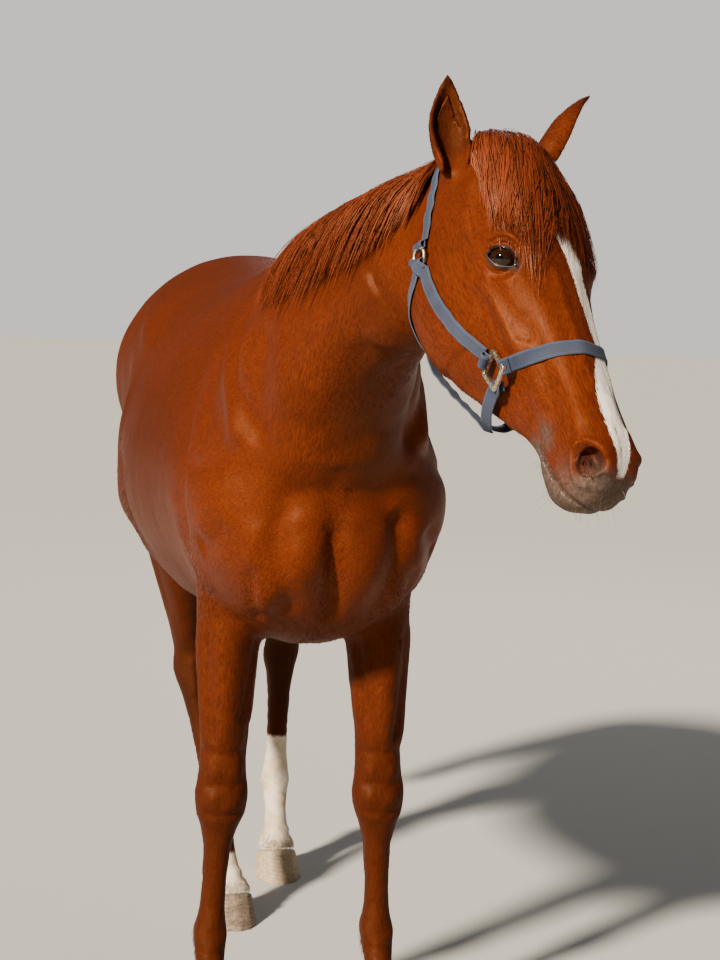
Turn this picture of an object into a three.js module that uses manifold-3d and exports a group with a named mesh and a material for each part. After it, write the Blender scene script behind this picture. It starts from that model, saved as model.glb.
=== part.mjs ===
// A chestnut riding horse, life size, standing with its head turned to its left, in a webbing halter.
// Millimetres, +Z up, nose towards -Y, the horse's left side towards +X, hooves on z = 0.
import * as THREE from 'three';
import { LoftGeometry } from 'three/addons/geometries/LoftGeometry.js';
import { mergeVertices } from 'three/addons/utils/BufferGeometryUtils.js';
import Module from 'manifold-3d';

const wasm = await Module();
wasm.setup();

// Driving dimensions.
const GAP = 0.3; // between pieces that touch
const FLOOR = 20; // level of the floor below the levels given for the body
const CENTRE_SHIFT = [-14, 268]; // brings the middle of the whole width and length to x = y = 0
const POLL = [221, -1196, 1777]; // top of the head, between the ears
const HEAD_YAW = 14.2; // degrees, nose turned to the horse's left
const HEAD_PITCH = 50.5; // degrees, nose below the level
const HEAD_ROLL = 21.5; // degrees, crown leaning to the horse's left
const HEAD_LENGTH = 624; // from the poll to the lips
const HEAD_BACK = -70; // how far its sections reach back into the neck
const EYE = { side: 83, along: 202, deep: -56, radius: 22, opening: [14, 26, 17], ahead: 24, slant: 10 };
const NOSTRIL = { side: 50, along: 578, deep: -50, radii: [22, 17, 26], slant: 29 };
const EAR_LENGTH = 160;
const WEBBING = { width: 25, thick: 5 };
const TRUNK_RING = 24; // points round a section of each piece
const NECK_RING = 20;
const HEAD_RING = 24;
const LEG_RING = 11;
const TAIL_RING = 10;
const BALL_SEGMENTS = 10;
const COAT = 0x9c4417;
const HAIR = 0x5d2413;
const HORN = 0x6b5a49;
const WEBBING_BLUE = 0x55627a;
const METAL = 0xb9b2a2;
const EYE_BROWN = 0x1c1410;

const { clamp, lerp, degToRad } = THREE.MathUtils;
const vec = (x, y, z) => new THREE.Vector3(x, y, z);

// A smooth curve through [place, value] stops that never overshoots them, level beyond its ends.
function profile(...stops) {
  const slopes = stops.map((stop, i) => {
    if (i === 0 || i === stops.length - 1) return 0;
    const before = (stop[1] - stops[i - 1][1]) / (stop[0] - stops[i - 1][0]);
    const after = (stops[i + 1][1] - stop[1]) / (stops[i + 1][0] - stop[0]);
    return before * after <= 0 ? 0 : (2 * before * after) / (before + after);
  });
  return (place) => {
    const at = clamp(place, stops[0][0], stops.at(-1)[0]);
    const i = clamp(stops.findLastIndex((stop) => stop[0] <= at), 0, stops.length - 2);
    const span = stops[i + 1][0] - stops[i][0];
    const t = (at - stops[i][0]) / span;
    const ease = t * t * (3 - 2 * t);
    const bend = slopes[i] * t * (1 - t) * (1 - t) - slopes[i + 1] * t * t * (1 - t);
    return lerp(stops[i][1], stops[i + 1][1], ease) + bend * span;
  };
}

// One section of a body: an egg-like ring across `side` and `up`, blunt or sharp above and below.
function ring({ centre, side, up, half, above, below, crown = 2, keel = 2, count }) {
  const power = (value, sharp) => Math.sign(value) * Math.abs(value) ** (2 / sharp);
  return Array.from({ length: count }, (_, i) => {
    const angle = ((i + 0.5) / count) * 2 * Math.PI;
    const sharp = Math.sin(angle) > 0 ? crown : keel;
    const rise = power(Math.sin(angle), sharp) * (Math.sin(angle) > 0 ? above : below);
    return centre.clone().addScaledVector(side, power(Math.cos(angle), sharp) * half)
      .addScaledVector(up, rise);
  });
}

// Pushes ring points out from (or in towards) the ring's middle where a muscle or bone lies.
function shaped(points, swells) {
  const middle = points.reduce((sum, point) => sum.add(point), vec(0, 0, 0)).divideScalar(points.length);
  return points.map((point) => {
    let lift = 0;
    for (const { at, reach, lift: height } of swells) {
      for (const mirror of at[0] ? [1, -1] : [1]) {
        const dx = (point.x - at[0] * mirror) / reach[0];
        const dy = (point.y - at[1]) / reach[1];
        const dz = (point.z - at[2]) / reach[2];
        lift += height * Math.exp(-(dx * dx + dy * dy + dz * dz));
      }
    }
    const outward = point.clone().sub(middle).normalize();
    return point.clone().addScaledVector(outward, lift);
  });
}

// A closed geometry that keeps only positions, its shared points merged and its faces outwards.
function closed(source) {
  const geometry = new THREE.BufferGeometry().copy(source);
  geometry.deleteAttribute('normal');
  geometry.deleteAttribute('uv');
  const merged = mergeVertices(geometry, 1e-3);
  const position = merged.getAttribute('position');
  const index = merged.getIndex().array;
  let volume = 0;
  const [a, b, c] = [vec(), vec(), vec()];
  for (let i = 0; i < index.length; i += 3) {
    a.fromBufferAttribute(position, index[i]);
    b.fromBufferAttribute(position, index[i + 1]);
    c.fromBufferAttribute(position, index[i + 2]);
    volume += a.dot(b.cross(c));
  }
  if (volume < 0) merged.setIndex(Array.from(index).reverse());
  return merged;
}

// A closed loft; its sections are turned round first if they wind the wrong way for outward faces.
function loft(sections) {
  const first = sections[0];
  const normal = vec(0, 0, 0);
  first.forEach((point, i) => normal.add(point.clone().sub(first[0])
    .cross(first[(i + 1) % first.length].clone().sub(first[0]))));
  const ahead = sections[1][0].clone().sub(first[0]);
  const ordered = normal.dot(ahead) < 0 ? sections.map((section) => [...section].reverse()) : sections;
  return closed(new LoftGeometry(ordered, { capStart: true, capEnd: true }));
}

function toSolid(geometry) {
  const position = geometry.getAttribute('position');
  return new wasm.Manifold(new wasm.Mesh({
    numProp: 3,
    vertProperties: new Float32Array(position.array),
    triVerts: new Uint32Array(geometry.getIndex().array),
  }));
}

function toGeometry(solid) {
  const mesh = solid.getMesh();
  const geometry = new THREE.BufferGeometry();
  geometry.setAttribute('position', new THREE.BufferAttribute(new Float32Array(mesh.vertProperties), 3));
  geometry.setIndex(new THREE.BufferAttribute(new Uint32Array(mesh.triVerts), 1));
  return geometry;
}

// The same shape with its surface moved outwards, which leaves room for a neighbour.
function grown(geometry, distance) {
  const copy = geometry.clone();
  copy.computeVertexNormals();
  const position = copy.getAttribute('position');
  const normal = copy.getAttribute('normal');
  for (let i = 0; i < position.count; i += 1) {
    position.setXYZ(i, position.getX(i) + normal.getX(i) * distance,
      position.getY(i) + normal.getY(i) * distance, position.getZ(i) + normal.getZ(i) * distance);
  }
  copy.deleteAttribute('normal');
  return copy;
}

// What is left of a piece outside its neighbours.
function outside(geometry, ...neighbours) {
  let solid = toSolid(geometry);
  for (const neighbour of neighbours) solid = solid.subtract(toSolid(grown(neighbour, GAP)));
  return toGeometry(solid);
}

const moved = (geometry, matrix) => geometry.clone().applyMatrix4(matrix);

// The trunk: sections across the body from the breast to the buttocks.
const BREAST_Y = -772;
const BUTTOCK_Y = 905;
const backLine = profile([-772, 1150], [-740, 1285], [-650, 1450], [-520, 1565], [-400, 1614], [-330, 1620],
  [-200, 1594], [-50, 1556], [80, 1549], [250, 1571], [400, 1600], [550, 1592], [700, 1540], [800, 1475],
  [870, 1390], [905, 1310]);
const bellyLine = profile([-772, 1070], [-745, 990], [-700, 920], [-620, 858], [-500, 826], [-350, 815],
  [-150, 803], [0, 795], [150, 802], [300, 845], [420, 915], [550, 1000], [700, 1085], [800, 1135],
  [870, 1200], [905, 1270]);
const trunkHalf = profile([-772, 34], [-762, 92], [-740, 142], [-690, 203], [-600, 240], [-500, 252],
  [-400, 262], [-300, 278], [-150, 308], [0, 330], [130, 335], [260, 322], [400, 303], [520, 298], [640, 290], [740, 255],
  [820, 190], [880, 105], [905, 50]);
const widestLine = profile([-772, 1110], [-600, 1130], [-400, 1165], [-200, 1140], [0, 1120], [200, 1135],
  [400, 1230], [600, 1280], [905, 1290]);
const trunkCrown = profile([-772, 2], [-600, 1.6], [-420, 1.4], [-320, 1.4], [-150, 1.7], [50, 1.95],
  [250, 2.1], [450, 2.15], [700, 2.05], [905, 2]);
const TRUNK_SWELLS = [
  { at: [215, -690, 1120], reach: [90, 90, 130], lift: 18 }, // point of the shoulder
  { at: [85, -760, 1035], reach: [60, 90, 90], lift: 30 }, // breast muscle
  { at: [0, -770, 1030], reach: [28, 120, 140], lift: -22 }, // furrow of the breast
  { at: [250, -470, 1120], reach: [120, 130, 170], lift: 20 }, // triceps over the elbow
  { at: [200, -330, 1430], reach: [90, 110, 120], lift: 12 }, // upper end of the shoulder blade
  { at: [265, 285, 1440], reach: [90, 80, 70], lift: 26 }, // point of the hip
  { at: [290, 360, 1230], reach: [120, 90, 110], lift: -14 }, // hollow of the flank
  { at: [270, 600, 1330], reach: [120, 200, 170], lift: 16 }, // thigh and croup
  { at: [0, 560, 1600], reach: [28, 260, 60], lift: -8 }, // furrow of the croup
];

function makeTrunk() {
  const steps = 24;
  return loft(Array.from({ length: steps + 1 }, (_, i) => {
    const bunched = i / steps - 0.1 * Math.sin((i / steps) * 2 * Math.PI); // closer near both ends
    const y = lerp(BREAST_Y, BUTTOCK_Y, bunched);
    const section = ring({
      centre: vec(0, y, widestLine(y)), side: vec(1, 0, 0), up: vec(0, 0, 1), half: trunkHalf(y),
      above: backLine(y) - widestLine(y), below: widestLine(y) - bellyLine(y),
      crown: trunkCrown(y), keel: 2.05, count: TRUNK_RING,
    });
    return shaped(section, TRUNK_SWELLS);
  }));
}

// The neck: sections between the crest and the throat, from inside the shoulders into the head.
const crestLine = new THREE.CatmullRomCurve3([vec(0, -250, 1600), vec(0, -400, 1617), vec(2, -550, 1642),
  vec(12, -710, 1680), vec(45, -870, 1722), vec(95, -1005, 1760), vec(158, -1110, 1782),
  vec(215, -1190, 1768)]);
const throatLine = new THREE.CatmullRomCurve3([vec(0, -560, 1010), vec(0, -720, 1085), vec(0, -790, 1180),
  vec(8, -845, 1275), vec(32, -905, 1352), vec(66, -970, 1412), vec(110, -1040, 1462), vec(160, -1110, 1510)]);
const NECK_CROWN = [1.45, 1.7]; // sharpness of the crest, at the withers and at the poll
const neckHalf = profile([0, 210], [0.15, 200], [0.3, 170], [0.45, 130], [0.6, 104], [0.8, 86], [1, 74]);

function neckSection(t) {
  const crest = crestLine.getPoint(t);
  const throat = throatLine.getPoint(t);
  const up = crest.clone().sub(throat);
  const depth = up.length();
  up.normalize();
  const along = crestLine.getTangent(t).add(throatLine.getTangent(t)).normalize();
  const side = up.clone().cross(along).negate().normalize();
  const centre = throat.clone().addScaledVector(up, depth * 0.45);
  return ring({
    centre, side, up, half: neckHalf(t), above: depth * 0.55, below: depth * 0.45,
    crown: lerp(...NECK_CROWN, t), keel: 2.2, count: NECK_RING,
  });
}

function makeNeck() {
  const steps = 12;
  return loft(Array.from({ length: steps + 1 }, (_, i) => neckSection(i / steps)));
}

// The head, in its own frame: nose towards -Y, crown towards +Z, the poll at the origin.
const headTop = profile([-70, -42], [-20, -8], [0, 0], [50, 9], [110, 14], [170, 13], [230, 6], [310, -3],
  [400, -9], [480, -11], [545, -14], [582, -22], [605, -40], [620, -64], [628, -86]);
const headBottom = profile([-70, -190], [0, -228], [70, -262], [120, -288], [170, -300], [220, -297],
  [280, -276], [340, -244], [405, -207], [460, -174], [505, -162], [540, -164], [585, -158], [612, -134],
  [628, -102]);
const HEAD_LEVELS = [ // share of the depth from the top, half-width along the head
  [0.06, profile([-70, 30], [40, 58], [100, 70], [160, 76], [210, 66], [270, 52], [350, 40], [450, 35],
    [530, 36], [590, 36], [624, 18])],
  [0.2, profile([-70, 52], [40, 78], [110, 94], [170, 106], [225, 103], [280, 85], [350, 66], [450, 54],
    [530, 56], [590, 54], [624, 26])],
  [0.42, profile([-70, 64], [60, 90], [120, 95], [200, 94], [270, 86], [330, 76], [400, 60], [470, 52],
    [540, 58], [590, 58], [624, 28])],
  [0.7, profile([-70, 60], [60, 84], [140, 88], [220, 82], [290, 68], [350, 52], [420, 41], [480, 40],
    [540, 48], [590, 49], [624, 24])],
  [0.93, profile([-70, 34], [60, 58], [140, 66], [220, 60], [290, 44], [350, 30], [420, 25], [480, 27],
    [540, 33], [590, 33], [624, 14])],
];
const HEAD_SWELLS = [
  { at: [104, -190, -30], reach: [40, 42, 22], lift: 14 }, // brow
  { at: [98, -262, -82], reach: [40, 40, 22], lift: 6 }, // cheekbone under the eye
  { at: [80, -340, -92], reach: [30, 70, 16], lift: 6 }, // facial crest
  { at: [52, -578, -34], reach: [30, 34, 26], lift: 9 }, // rim of the nostril
  { at: [0, -600, -168], reach: [40, 40, 30], lift: 5 }, // lower lip
];

function headSection(along) {
  const top = headTop(along);
  const depth = top - headBottom(along);
  const right = HEAD_LEVELS.map(([share, half]) => vec(-half(along), -along, top - share * depth));
  const left = right.map((point) => vec(-point.x, point.y, point.z)).reverse();
  const outline = [vec(0, -along, top), ...right, vec(0, -along, top - depth), ...left];
  const curve = new THREE.CatmullRomCurve3(outline, true);
  const points = curve.getSpacedPoints(HEAD_RING).slice(0, HEAD_RING);
  return shaped(points, HEAD_SWELLS);
}

function makeHead() {
  const steps = 23;
  return loft(Array.from({ length: steps + 1 }, (_, i) => {
    const t = i / steps;
    const bunched = t + 0.06 * Math.sin(t * Math.PI); // closer near the muzzle
    return headSection(lerp(HEAD_BACK, HEAD_LENGTH, bunched));
  }));
}

const headMatrix = new THREE.Matrix4().makeRotationFromEuler(
  new THREE.Euler(degToRad(HEAD_PITCH), degToRad(HEAD_ROLL), degToRad(HEAD_YAW), 'ZXY')).setPosition(...POLL);

// A large block whose one face is the plane of a cut between two parts of the body.
function beyond(point, facing) {
  const size = 3000;
  const block = closed(new THREE.BoxGeometry(size, size, size));
  const turn = new THREE.Quaternion().setFromUnitVectors(vec(0, 0, 1), facing.clone().normalize());
  return block.applyMatrix4(new THREE.Matrix4().compose(
    point.clone().addScaledVector(facing.clone().normalize(), size / 2), turn, vec(1, 1, 1)));
}

const shoulderCut = [vec(0, -350, 1640), vec(0, -1, 0.9)];
const throatCut = [vec(0, 34, 0), vec(0, -0.9, 0.43)]; // in the head's frame
const setBack = ([point, facing]) => {
  const away = facing.clone().normalize();
  return beyond(point.clone().addScaledVector(away, -GAP), away);
};

const headAndNeck = toSolid(makeHead()).add(toSolid(moved(makeNeck(), headMatrix.clone().invert())));
const headWhole = toGeometry(headAndNeck.intersect(toSolid(beyond(...throatCut))));
const neckWhole = toGeometry(headAndNeck.subtract(toSolid(setBack(throatCut)))).applyMatrix4(headMatrix);
const trunkAndNeck = toSolid(makeTrunk()).add(toSolid(neckWhole));
const neck = toGeometry(trunkAndNeck.intersect(toSolid(beyond(...shoulderCut))));
const trunk = toGeometry(trunkAndNeck.subtract(toSolid(setBack(shoulderCut))));

// Eyes and nostrils are hollows in the head; each eye is a ball that fills its socket.
function ellipsoid(side, { side: out, along, deep }, radii, turn = [0, 0, 0]) {
  const ball = closed(new THREE.SphereGeometry(1, BALL_SEGMENTS, Math.round(BALL_SEGMENTS * 0.6)));
  const turned = new THREE.Quaternion().setFromEuler(new THREE.Euler(...turn.map(degToRad)));
  return ball.applyMatrix4(new THREE.Matrix4().compose(vec(side * out, -along, deep), turned, vec(...radii)));
}

const eyeball = (side, radius = EYE.radius) => ellipsoid(side, EYE, [radius, radius, radius]);

function hollowed(geometry) {
  let solid = toSolid(geometry);
  for (const side of [-1, 1]) {
    const lids = { ...EYE, side: EYE.side + EYE.ahead };
    solid = solid.subtract(toSolid(eyeball(side, EYE.radius + GAP)))
      .subtract(toSolid(ellipsoid(side, lids, EYE.opening, [EYE.slant, 0, 0])))
      .subtract(toSolid(ellipsoid(side, NOSTRIL, NOSTRIL.radii, [0, 0, side * NOSTRIL.slant])));
  }
  return toGeometry(solid);
}

const head = hollowed(headWhole);

// Legs: each ring lies at a share of the way between two of the leg's joints.
// Columns: joint and share, half-width, reach to the front, reach to the back, tilt in degrees.
const FORE_RINGS = [
  [0, 58, 115, 100, 0], [0.5, 70, 116, 106, 0], [1, 70, 96, 94, 0], [1.2, 66, 84, 84, 0],
  [1.45, 57, 70, 66, 0], [1.7, 50, 56, 52, 0], [1.86, 47, 48, 46, 0], [1.95, 52, 52, 46, 0],
  [2.05, 51, 51, 47, 0], [2.16, 40, 38, 44, 0], [2.3, 31, 31, 38, 0], [2.55, 28, 28, 36, 0],
  [2.78, 29, 30, 39, 0], [2.9, 34, 35, 44, 5], [3, 37, 40, 46, 12], [3.14, 35, 38, 40, 20],
  [3.4, 30, 33, 33, 28], [3.7, 33, 36, 36, 26], [4, 49, 51, 46, 17]];
const HIND_RINGS = [
  [0, 104, 225, 228, 0], [0.5, 112, 225, 240, 0], [1, 110, 208, 232, 0], [1.5, 102, 178, 196, 0],
  [2, 88, 142, 146, 0], [2.25, 74, 114, 108, 0], [2.5, 59, 86, 78, 0], [2.7, 47, 62, 66, 0],
  [2.86, 42, 50, 72, 0], [2.96, 45, 51, 72, 0], [3.08, 46, 52, 60, 0], [3.2, 39, 44, 48, 0],
  [3.35, 32, 34, 41, 0], [3.6, 29, 30, 37, 0], [3.8, 31, 33, 41, 0], [3.92, 36, 38, 46, 6],
  [4, 38, 41, 47, 12], [4.14, 35, 38, 41, 20], [4.4, 30, 33, 33, 28], [4.7, 33, 36, 36, 26],
  [5, 48, 50, 45, 17]];
const LEGS = {
  foreleg_right: { rings: FORE_RINGS, flare: 1, joints: [[-148, -480, 1090], [-150, -462, 930],
    [-157, -497, 500], [-171, -499, 236], [-175, -586, 78]] },
  foreleg_left: { rings: FORE_RINGS, flare: 1, joints: [[148, -480, 1090], [152, -462, 930],
    [163, -497, 500], [170, -499, 234], [173, -586, 78]] },
  hindleg_right: { rings: HIND_RINGS, flare: 0.93, joints: [[-148, 600, 1330], [-168, 550, 1120],
    [-163, 430, 930], [-110, 470, 580], [-50, 340, 240], [-25, 255, 78]] },
  hindleg_left: { rings: HIND_RINGS, flare: 0.93, joints: [[145, 650, 1330], [168, 628, 1120],
    [178, 590, 930], [155, 755, 580], [142, 690, 240], [137, 605, 78]] },
};

function legRing([place, half, front, back, tilt], joints) {
  const from = Math.min(Math.floor(place), joints.length - 2);
  const centre = vec(...joints[from]).lerp(vec(...joints[from + 1]), place - from);
  const lean = Math.tan(degToRad(tilt));
  return ring({ centre, side: vec(1, 0, 0), up: vec(0, -1, 0), half, above: front, below: back,
    crown: 2.15, keel: 2.05, count: LEG_RING })
    .map((point) => vec(point.x, point.y, point.z - (point.y - centre.y) * lean));
}

function makeLeg({ rings, joints }) {
  return loft(rings.map((row) => legRing(row, joints)));
}

// A hoof: a horn wall that flares from the coronet to a flat sole, its toe steeper than its heel.
const TOE_ANGLE = 50;
const HOOF_FLARE = [[0.02, 1.05], [0.5, 1.14], [0.94, 1.24], [1, 1.23]]; // share of the height, width

function makeHoof({ rings, joints, flare }) {
  const coronet = legRing(rings.at(-1), joints);
  const middle = vec(...joints.at(-1));
  const reach = Math.max(...coronet.map((point) => middle.y - point.y));
  return loft(HOOF_FLARE.map(([share, wide]) => coronet.map((point) => {
    const spread = 1 + (wide - 1) * flare;
    const ahead = (middle.y - point.y) / reach; // 1 at the toe, -1 at the heel
    const slide = ((point.z - FLOOR) * share * (0.8 + 0.2 * ahead)) / Math.tan(degToRad(TOE_ANGLE));
    return vec(middle.x + (point.x - middle.x) * spread,
      middle.y + (point.y - middle.y) * (1 + (spread - 1) * 0.6) - slide,
      lerp(point.z - GAP, FLOOR, share));
  })));
}

// An ear: a pointed cup rolled about its own axis, from a base on the head towards its tip.
const EARS = {
  right: { base: [-86, 20, -86], towards: [-0.02, 0.95, 0.3], open: [-0.5, -0.55, 0.66], bow: 8 },
  left: { base: [76, 26, -18], towards: [0.47, 0.72, 0.52], open: [0.75, -0.6, 0.3], bow: -6 },
};
const earRadius = profile([-0.12, 24], [0, 28], [0.2, 34], [0.45, 36], [0.7, 27], [0.88, 15], [1, 3]);
const earRoll = profile([0, 225], [0.2, 200], [0.5, 165], [0.8, 140], [1, 120]); // degrees of the cup
const earWall = profile([0, 9], [0.4, 6.5], [1, 4]);

function makeEar({ base, towards, open, bow }) {
  const steps = 8;
  const across = 7;
  const sections = Array.from({ length: steps + 1 }, (_, i) => {
    const t = lerp(-0.12, 1, i / steps);
    const half = degToRad(earRoll(t)) / 2;
    const edge = (share, inset) => {
      const angle = lerp(-half, half, share);
      const radius = earRadius(t) - inset;
      const back = bow * Math.sin(clamp(t, 0, 1) * Math.PI);
      return vec(Math.sin(angle) * radius, t * EAR_LENGTH, -Math.cos(angle) * radius - back);
    };
    const wall = Math.min(earWall(t), earRadius(t) * 0.7);
    const outer = Array.from({ length: across }, (_, j) => edge(j / (across - 1), 0));
    const inner = Array.from({ length: across }, (_, j) => edge(1 - j / (across - 1), wall));
    return [...outer, ...inner];
  });
  const along = vec(...towards).normalize();
  const across3 = along.clone().cross(vec(...open)).normalize();
  const facing = across3.clone().cross(along);
  const matrix = new THREE.Matrix4().makeBasis(across3, along, facing).setPosition(...base);
  return loft(sections).applyMatrix4(matrix);
}

// The mane: a mass of hair that falls from the crest on the horse's right.
const MANE_SPAN = [0.3, 0.955]; // along the neck, from the withers' end
const MANE_LAYERS = [[0.06, 15], [0.25, 18], [0.5, 18], [0.78, 15], [1, 7]]; // share of the fall, thickness

function makeMane() {
  const steps = 11;
  const fall = profile([0, 40], [0.12, 110], [0.4, 150], [0.75, 150], [0.93, 120], [1, 70]);
  return loft(Array.from({ length: steps + 1 }, (_, i) => {
    const place = lerp(...MANE_SPAN, i / steps);
    const crest = crestLine.getPoint(place);
    const throat = throatLine.getPoint(place);
    const up = crest.clone().sub(throat).normalize();
    const right = crestLine.getTangent(place).cross(up).normalize();
    const depth = crest.distanceTo(throat) * 0.55;
    const crown = lerp(...NECK_CROWN, place);
    const from = (drop, out) => crest.clone().addScaledVector(up, -drop).addScaledVector(right, out);
    const onSide = (share, out) => {
      const drop = share * fall(i / steps);
      const level = clamp(1 - drop / depth, 0, 1);
      return from(drop, neckHalf(place) * (1 - level ** crown) ** (1 / crown) + out);
    };
    const outer = MANE_LAYERS.map(([share, thick]) => onSide(share, thick));
    const inner = MANE_LAYERS.map(([share]) => onSide(share, -8));
    return [...outer.reverse(), from(-16, 6), from(-13, -8), from(16, -16), ...inner];
  }));
}

// The tail: a tapering mass of hair that hangs behind the hocks.
function makeTail() {
  const line = new THREE.CatmullRomCurve3([vec(0, 770, 1440), vec(0, 862, 1432), vec(0, 930, 1345),
    vec(2, 962, 1180), vec(4, 968, 980), vec(6, 960, 780), vec(8, 945, 600), vec(8, 938, 500)]);
  const half = profile([0, 32], [0.12, 40], [0.3, 56], [0.55, 76], [0.8, 70], [0.95, 44], [1, 18]);
  const deep = profile([0, 30], [0.12, 34], [0.3, 44], [0.55, 56], [0.8, 50], [0.95, 30], [1, 10]);
  const steps = 13;
  return loft(Array.from({ length: steps + 1 }, (_, i) => {
    const t = i / steps;
    const up = line.getTangent(t).cross(vec(1, 0, 0)).normalize();
    return ring({ centre: line.getPoint(t), side: vec(1, 0, 0), up, half: half(t), above: deep(t),
      below: deep(t), count: TAIL_RING });
  }));
}

// Places on the head: distance along it from the poll, turn round it (nothing at the crown, a half
// under the jaw, the right side first) and stand-off.
const headAndNeckMesh = new THREE.Mesh(toGeometry(headAndNeck), new THREE.MeshBasicMaterial());
const probe = new THREE.Raycaster();
const PROBE_START = 200;

function onHead(along, turn, out) {
  const loop = new THREE.CatmullRomCurve3(headSection(along), true);
  const base = loop.getPointAt(turn - Math.floor(turn));
  const inside = vec(0, -along, (headTop(along) + headBottom(along)) / 2);
  const outward = loop.getTangentAt(turn - Math.floor(turn)).cross(vec(0, 1, 0)).normalize();
  if (outward.dot(base.clone().sub(inside)) < 0) outward.negate();
  probe.set(base.clone().addScaledVector(outward, PROBE_START), outward.clone().negate());
  const [hit] = probe.intersectObject(headAndNeckMesh);
  return { point: (hit ? hit.point : base).clone().addScaledVector(outward, out), outward };
}

// The forelock fans out from the poll over the forehead, further on the right.
function makeForelock() {
  const steps = 7;
  const across = 7;
  const rightEdge = profile([-28, 0.07], [0, 0.1], [50, 0.145], [100, 0.18], [150, 0.15], [196, 0.05]);
  const leftEdge = profile([-28, 0.08], [0, 0.09], [60, 0.1], [120, 0.12], [160, 0.11], [196, 0.05]);
  const lift = profile([-28, 18], [0, 25], [60, 21], [120, 15], [196, 6]);
  return loft(Array.from({ length: steps + 1 }, (_, i) => {
    const along = lerp(-26, 194, i / steps);
    const row = (out) => Array.from({ length: across + 1 }, (_, j) => {
      const share = j / across;
      const dome = 1 - 0.55 * (2 * share - 1) ** 2;
      return onHead(along, lerp(rightEdge(along), -leftEdge(along), share), out(dome)).point;
    });
    return [...row((dome) => lift(along) * dome), ...row(() => -12).reverse()];
  }));
}

// Halter: webbing straps that follow the head, joined by metal rings at the cheeks.
const CHEEK_RING = [92, 0.345, 7];
const SQUARE_RING = [352, 0.3, 11];
const CROWN_PATH = [[72, 0.345, 4], [40, 0.345, 5], [10, 0.34, 5], [-16, 0.315, 5], [-40, 0.265, 5],
  [-54, 0.2, 5], [-60, 0.13, 5], [-63, 0.06, 5], [-64, 0, 5]];
const CHEEK_PATH = [[112, 0.342, 5], [160, 0.332, 5], [220, 0.322, 5], [280, 0.31, 5], [330, 0.3, 5]];
const THROAT_PATH = [[104, 0.37, 5], [122, 0.4, 6], [150, 0.435, 6], [178, 0.465, 6], [196, 0.485, 6],
  [202, 0.5, 6]];
const NOSE_PATH = [[360, 0.26, 4], [368, 0.22, 4], [376, 0.16, 4], [383, 0.09, 4], [386, 0, 4]];
const CHIN_PATH = [[368, 0.34, 5], [376, 0.4, 9], [384, 0.45, 17], [388, 0.5, 24]];
const JAW_PATH = [[217, 0.5, 13], [260, 0.5, 13], [310, 0.5, 17], [350, 0.5, 21], [370, 0.5, 25]];

const onLeft = (guides) => guides.map(([along, turn, out]) => [along, -turn, out]);
const overTop = (guides) => [...guides, ...onLeft(guides).slice(0, -1).reverse()];
const underJaw = (guides) => [...guides,
  ...guides.slice(0, -1).reverse().map(([along, turn, out]) => [along, 1 - turn, out])];

function makeStrap(guides) {
  const stretched = 400; // lets one curve carry turns beside millimetres
  const path = new THREE.CatmullRomCurve3(
    guides.map(([along, turn, out]) => vec(along, turn * stretched, out)), false, 'centripetal');
  const steps = Math.round((guides.length - 1) * 1.6);
  const spots = Array.from({ length: steps + 1 }, (_, i) => {
    const { x, y, z } = path.getPoint(i / steps);
    return onHead(x, y / stretched, z);
  });
  return loft(spots.map(({ point, outward }, i) => {
    const tangent = spots[Math.min(i + 1, steps)].point.clone().sub(spots[Math.max(i - 1, 0)].point);
    const across = tangent.cross(outward).normalize();
    return [[-0.5, 0], [0.5, 0], [0.5, 1], [-0.5, 1]].map(([wide, high]) => point.clone()
      .addScaledVector(across, wide * WEBBING.width).addScaledVector(outward, high * WEBBING.thick));
  }));
}

// A ring lies flat on the cheek, turned so that its x axis follows the strap beside it.
function placedRing(geometry, [along, turn, lift], next) {
  const { point, outward } = onHead(along, turn, lift);
  const ahead = onHead(next[0], next[1], lift).point.sub(point);
  const across = outward.clone().cross(ahead).normalize();
  const matrix = new THREE.Matrix4().makeBasis(across.clone().cross(outward), across, outward);
  return closed(geometry).applyMatrix4(matrix.setPosition(point));
}

const ROUND_RING = { radius: 14, wire: 2.4 };
const SQUARE_FRAME = { outer: 20, wire: 5, corner: 4 };

function squareFrame({ outer, wire, corner }) {
  const outline = new THREE.Shape();
  outline.moveTo(-outer, corner - outer);
  for (const [x, y, from] of [[-1, -1, Math.PI], [1, -1, -Math.PI / 2], [1, 1, 0], [-1, 1, Math.PI / 2]]) {
    outline.absarc(x * (outer - corner), y * (outer - corner), corner, from, from + Math.PI / 2, false);
  }
  const inner = outer - wire;
  outline.holes.push(new THREE.Path([[-1, -1], [-1, 1], [1, 1], [1, -1]]
    .map(([x, y]) => new THREE.Vector2(x * inner, y * inner))));
  const frame = new THREE.ExtrudeGeometry(outline, { depth: wire, bevelEnabled: false, curveSegments: 2 });
  return frame.translate(0, 0, -wire / 2);
}

const parts = new THREE.Group();

function add(group, name, geometry, color, roughness = 0.6, metalness = 0) {
  const shown = geometry.index ? geometry.toNonIndexed() : geometry;
  shown.computeVertexNormals();
  const mesh = new THREE.Mesh(shown, new THREE.MeshStandardMaterial({ color, roughness, metalness }));
  mesh.name = name;
  group.add(mesh);
  return mesh;
}

add(parts, 'trunk', trunk, COAT, 0.45);
add(parts, 'neck', neck, COAT, 0.45);
for (const [name, leg] of Object.entries(LEGS)) {
  const hoof = makeHoof(leg);
  add(parts, name, outside(makeLeg(leg), trunk, hoof), COAT, 0.45);
  add(parts, name.replace('leg', 'hoof'), hoof, HORN, 0.7);
}
add(parts, 'tail', outside(makeTail(), trunk), HAIR, 0.7);

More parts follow.
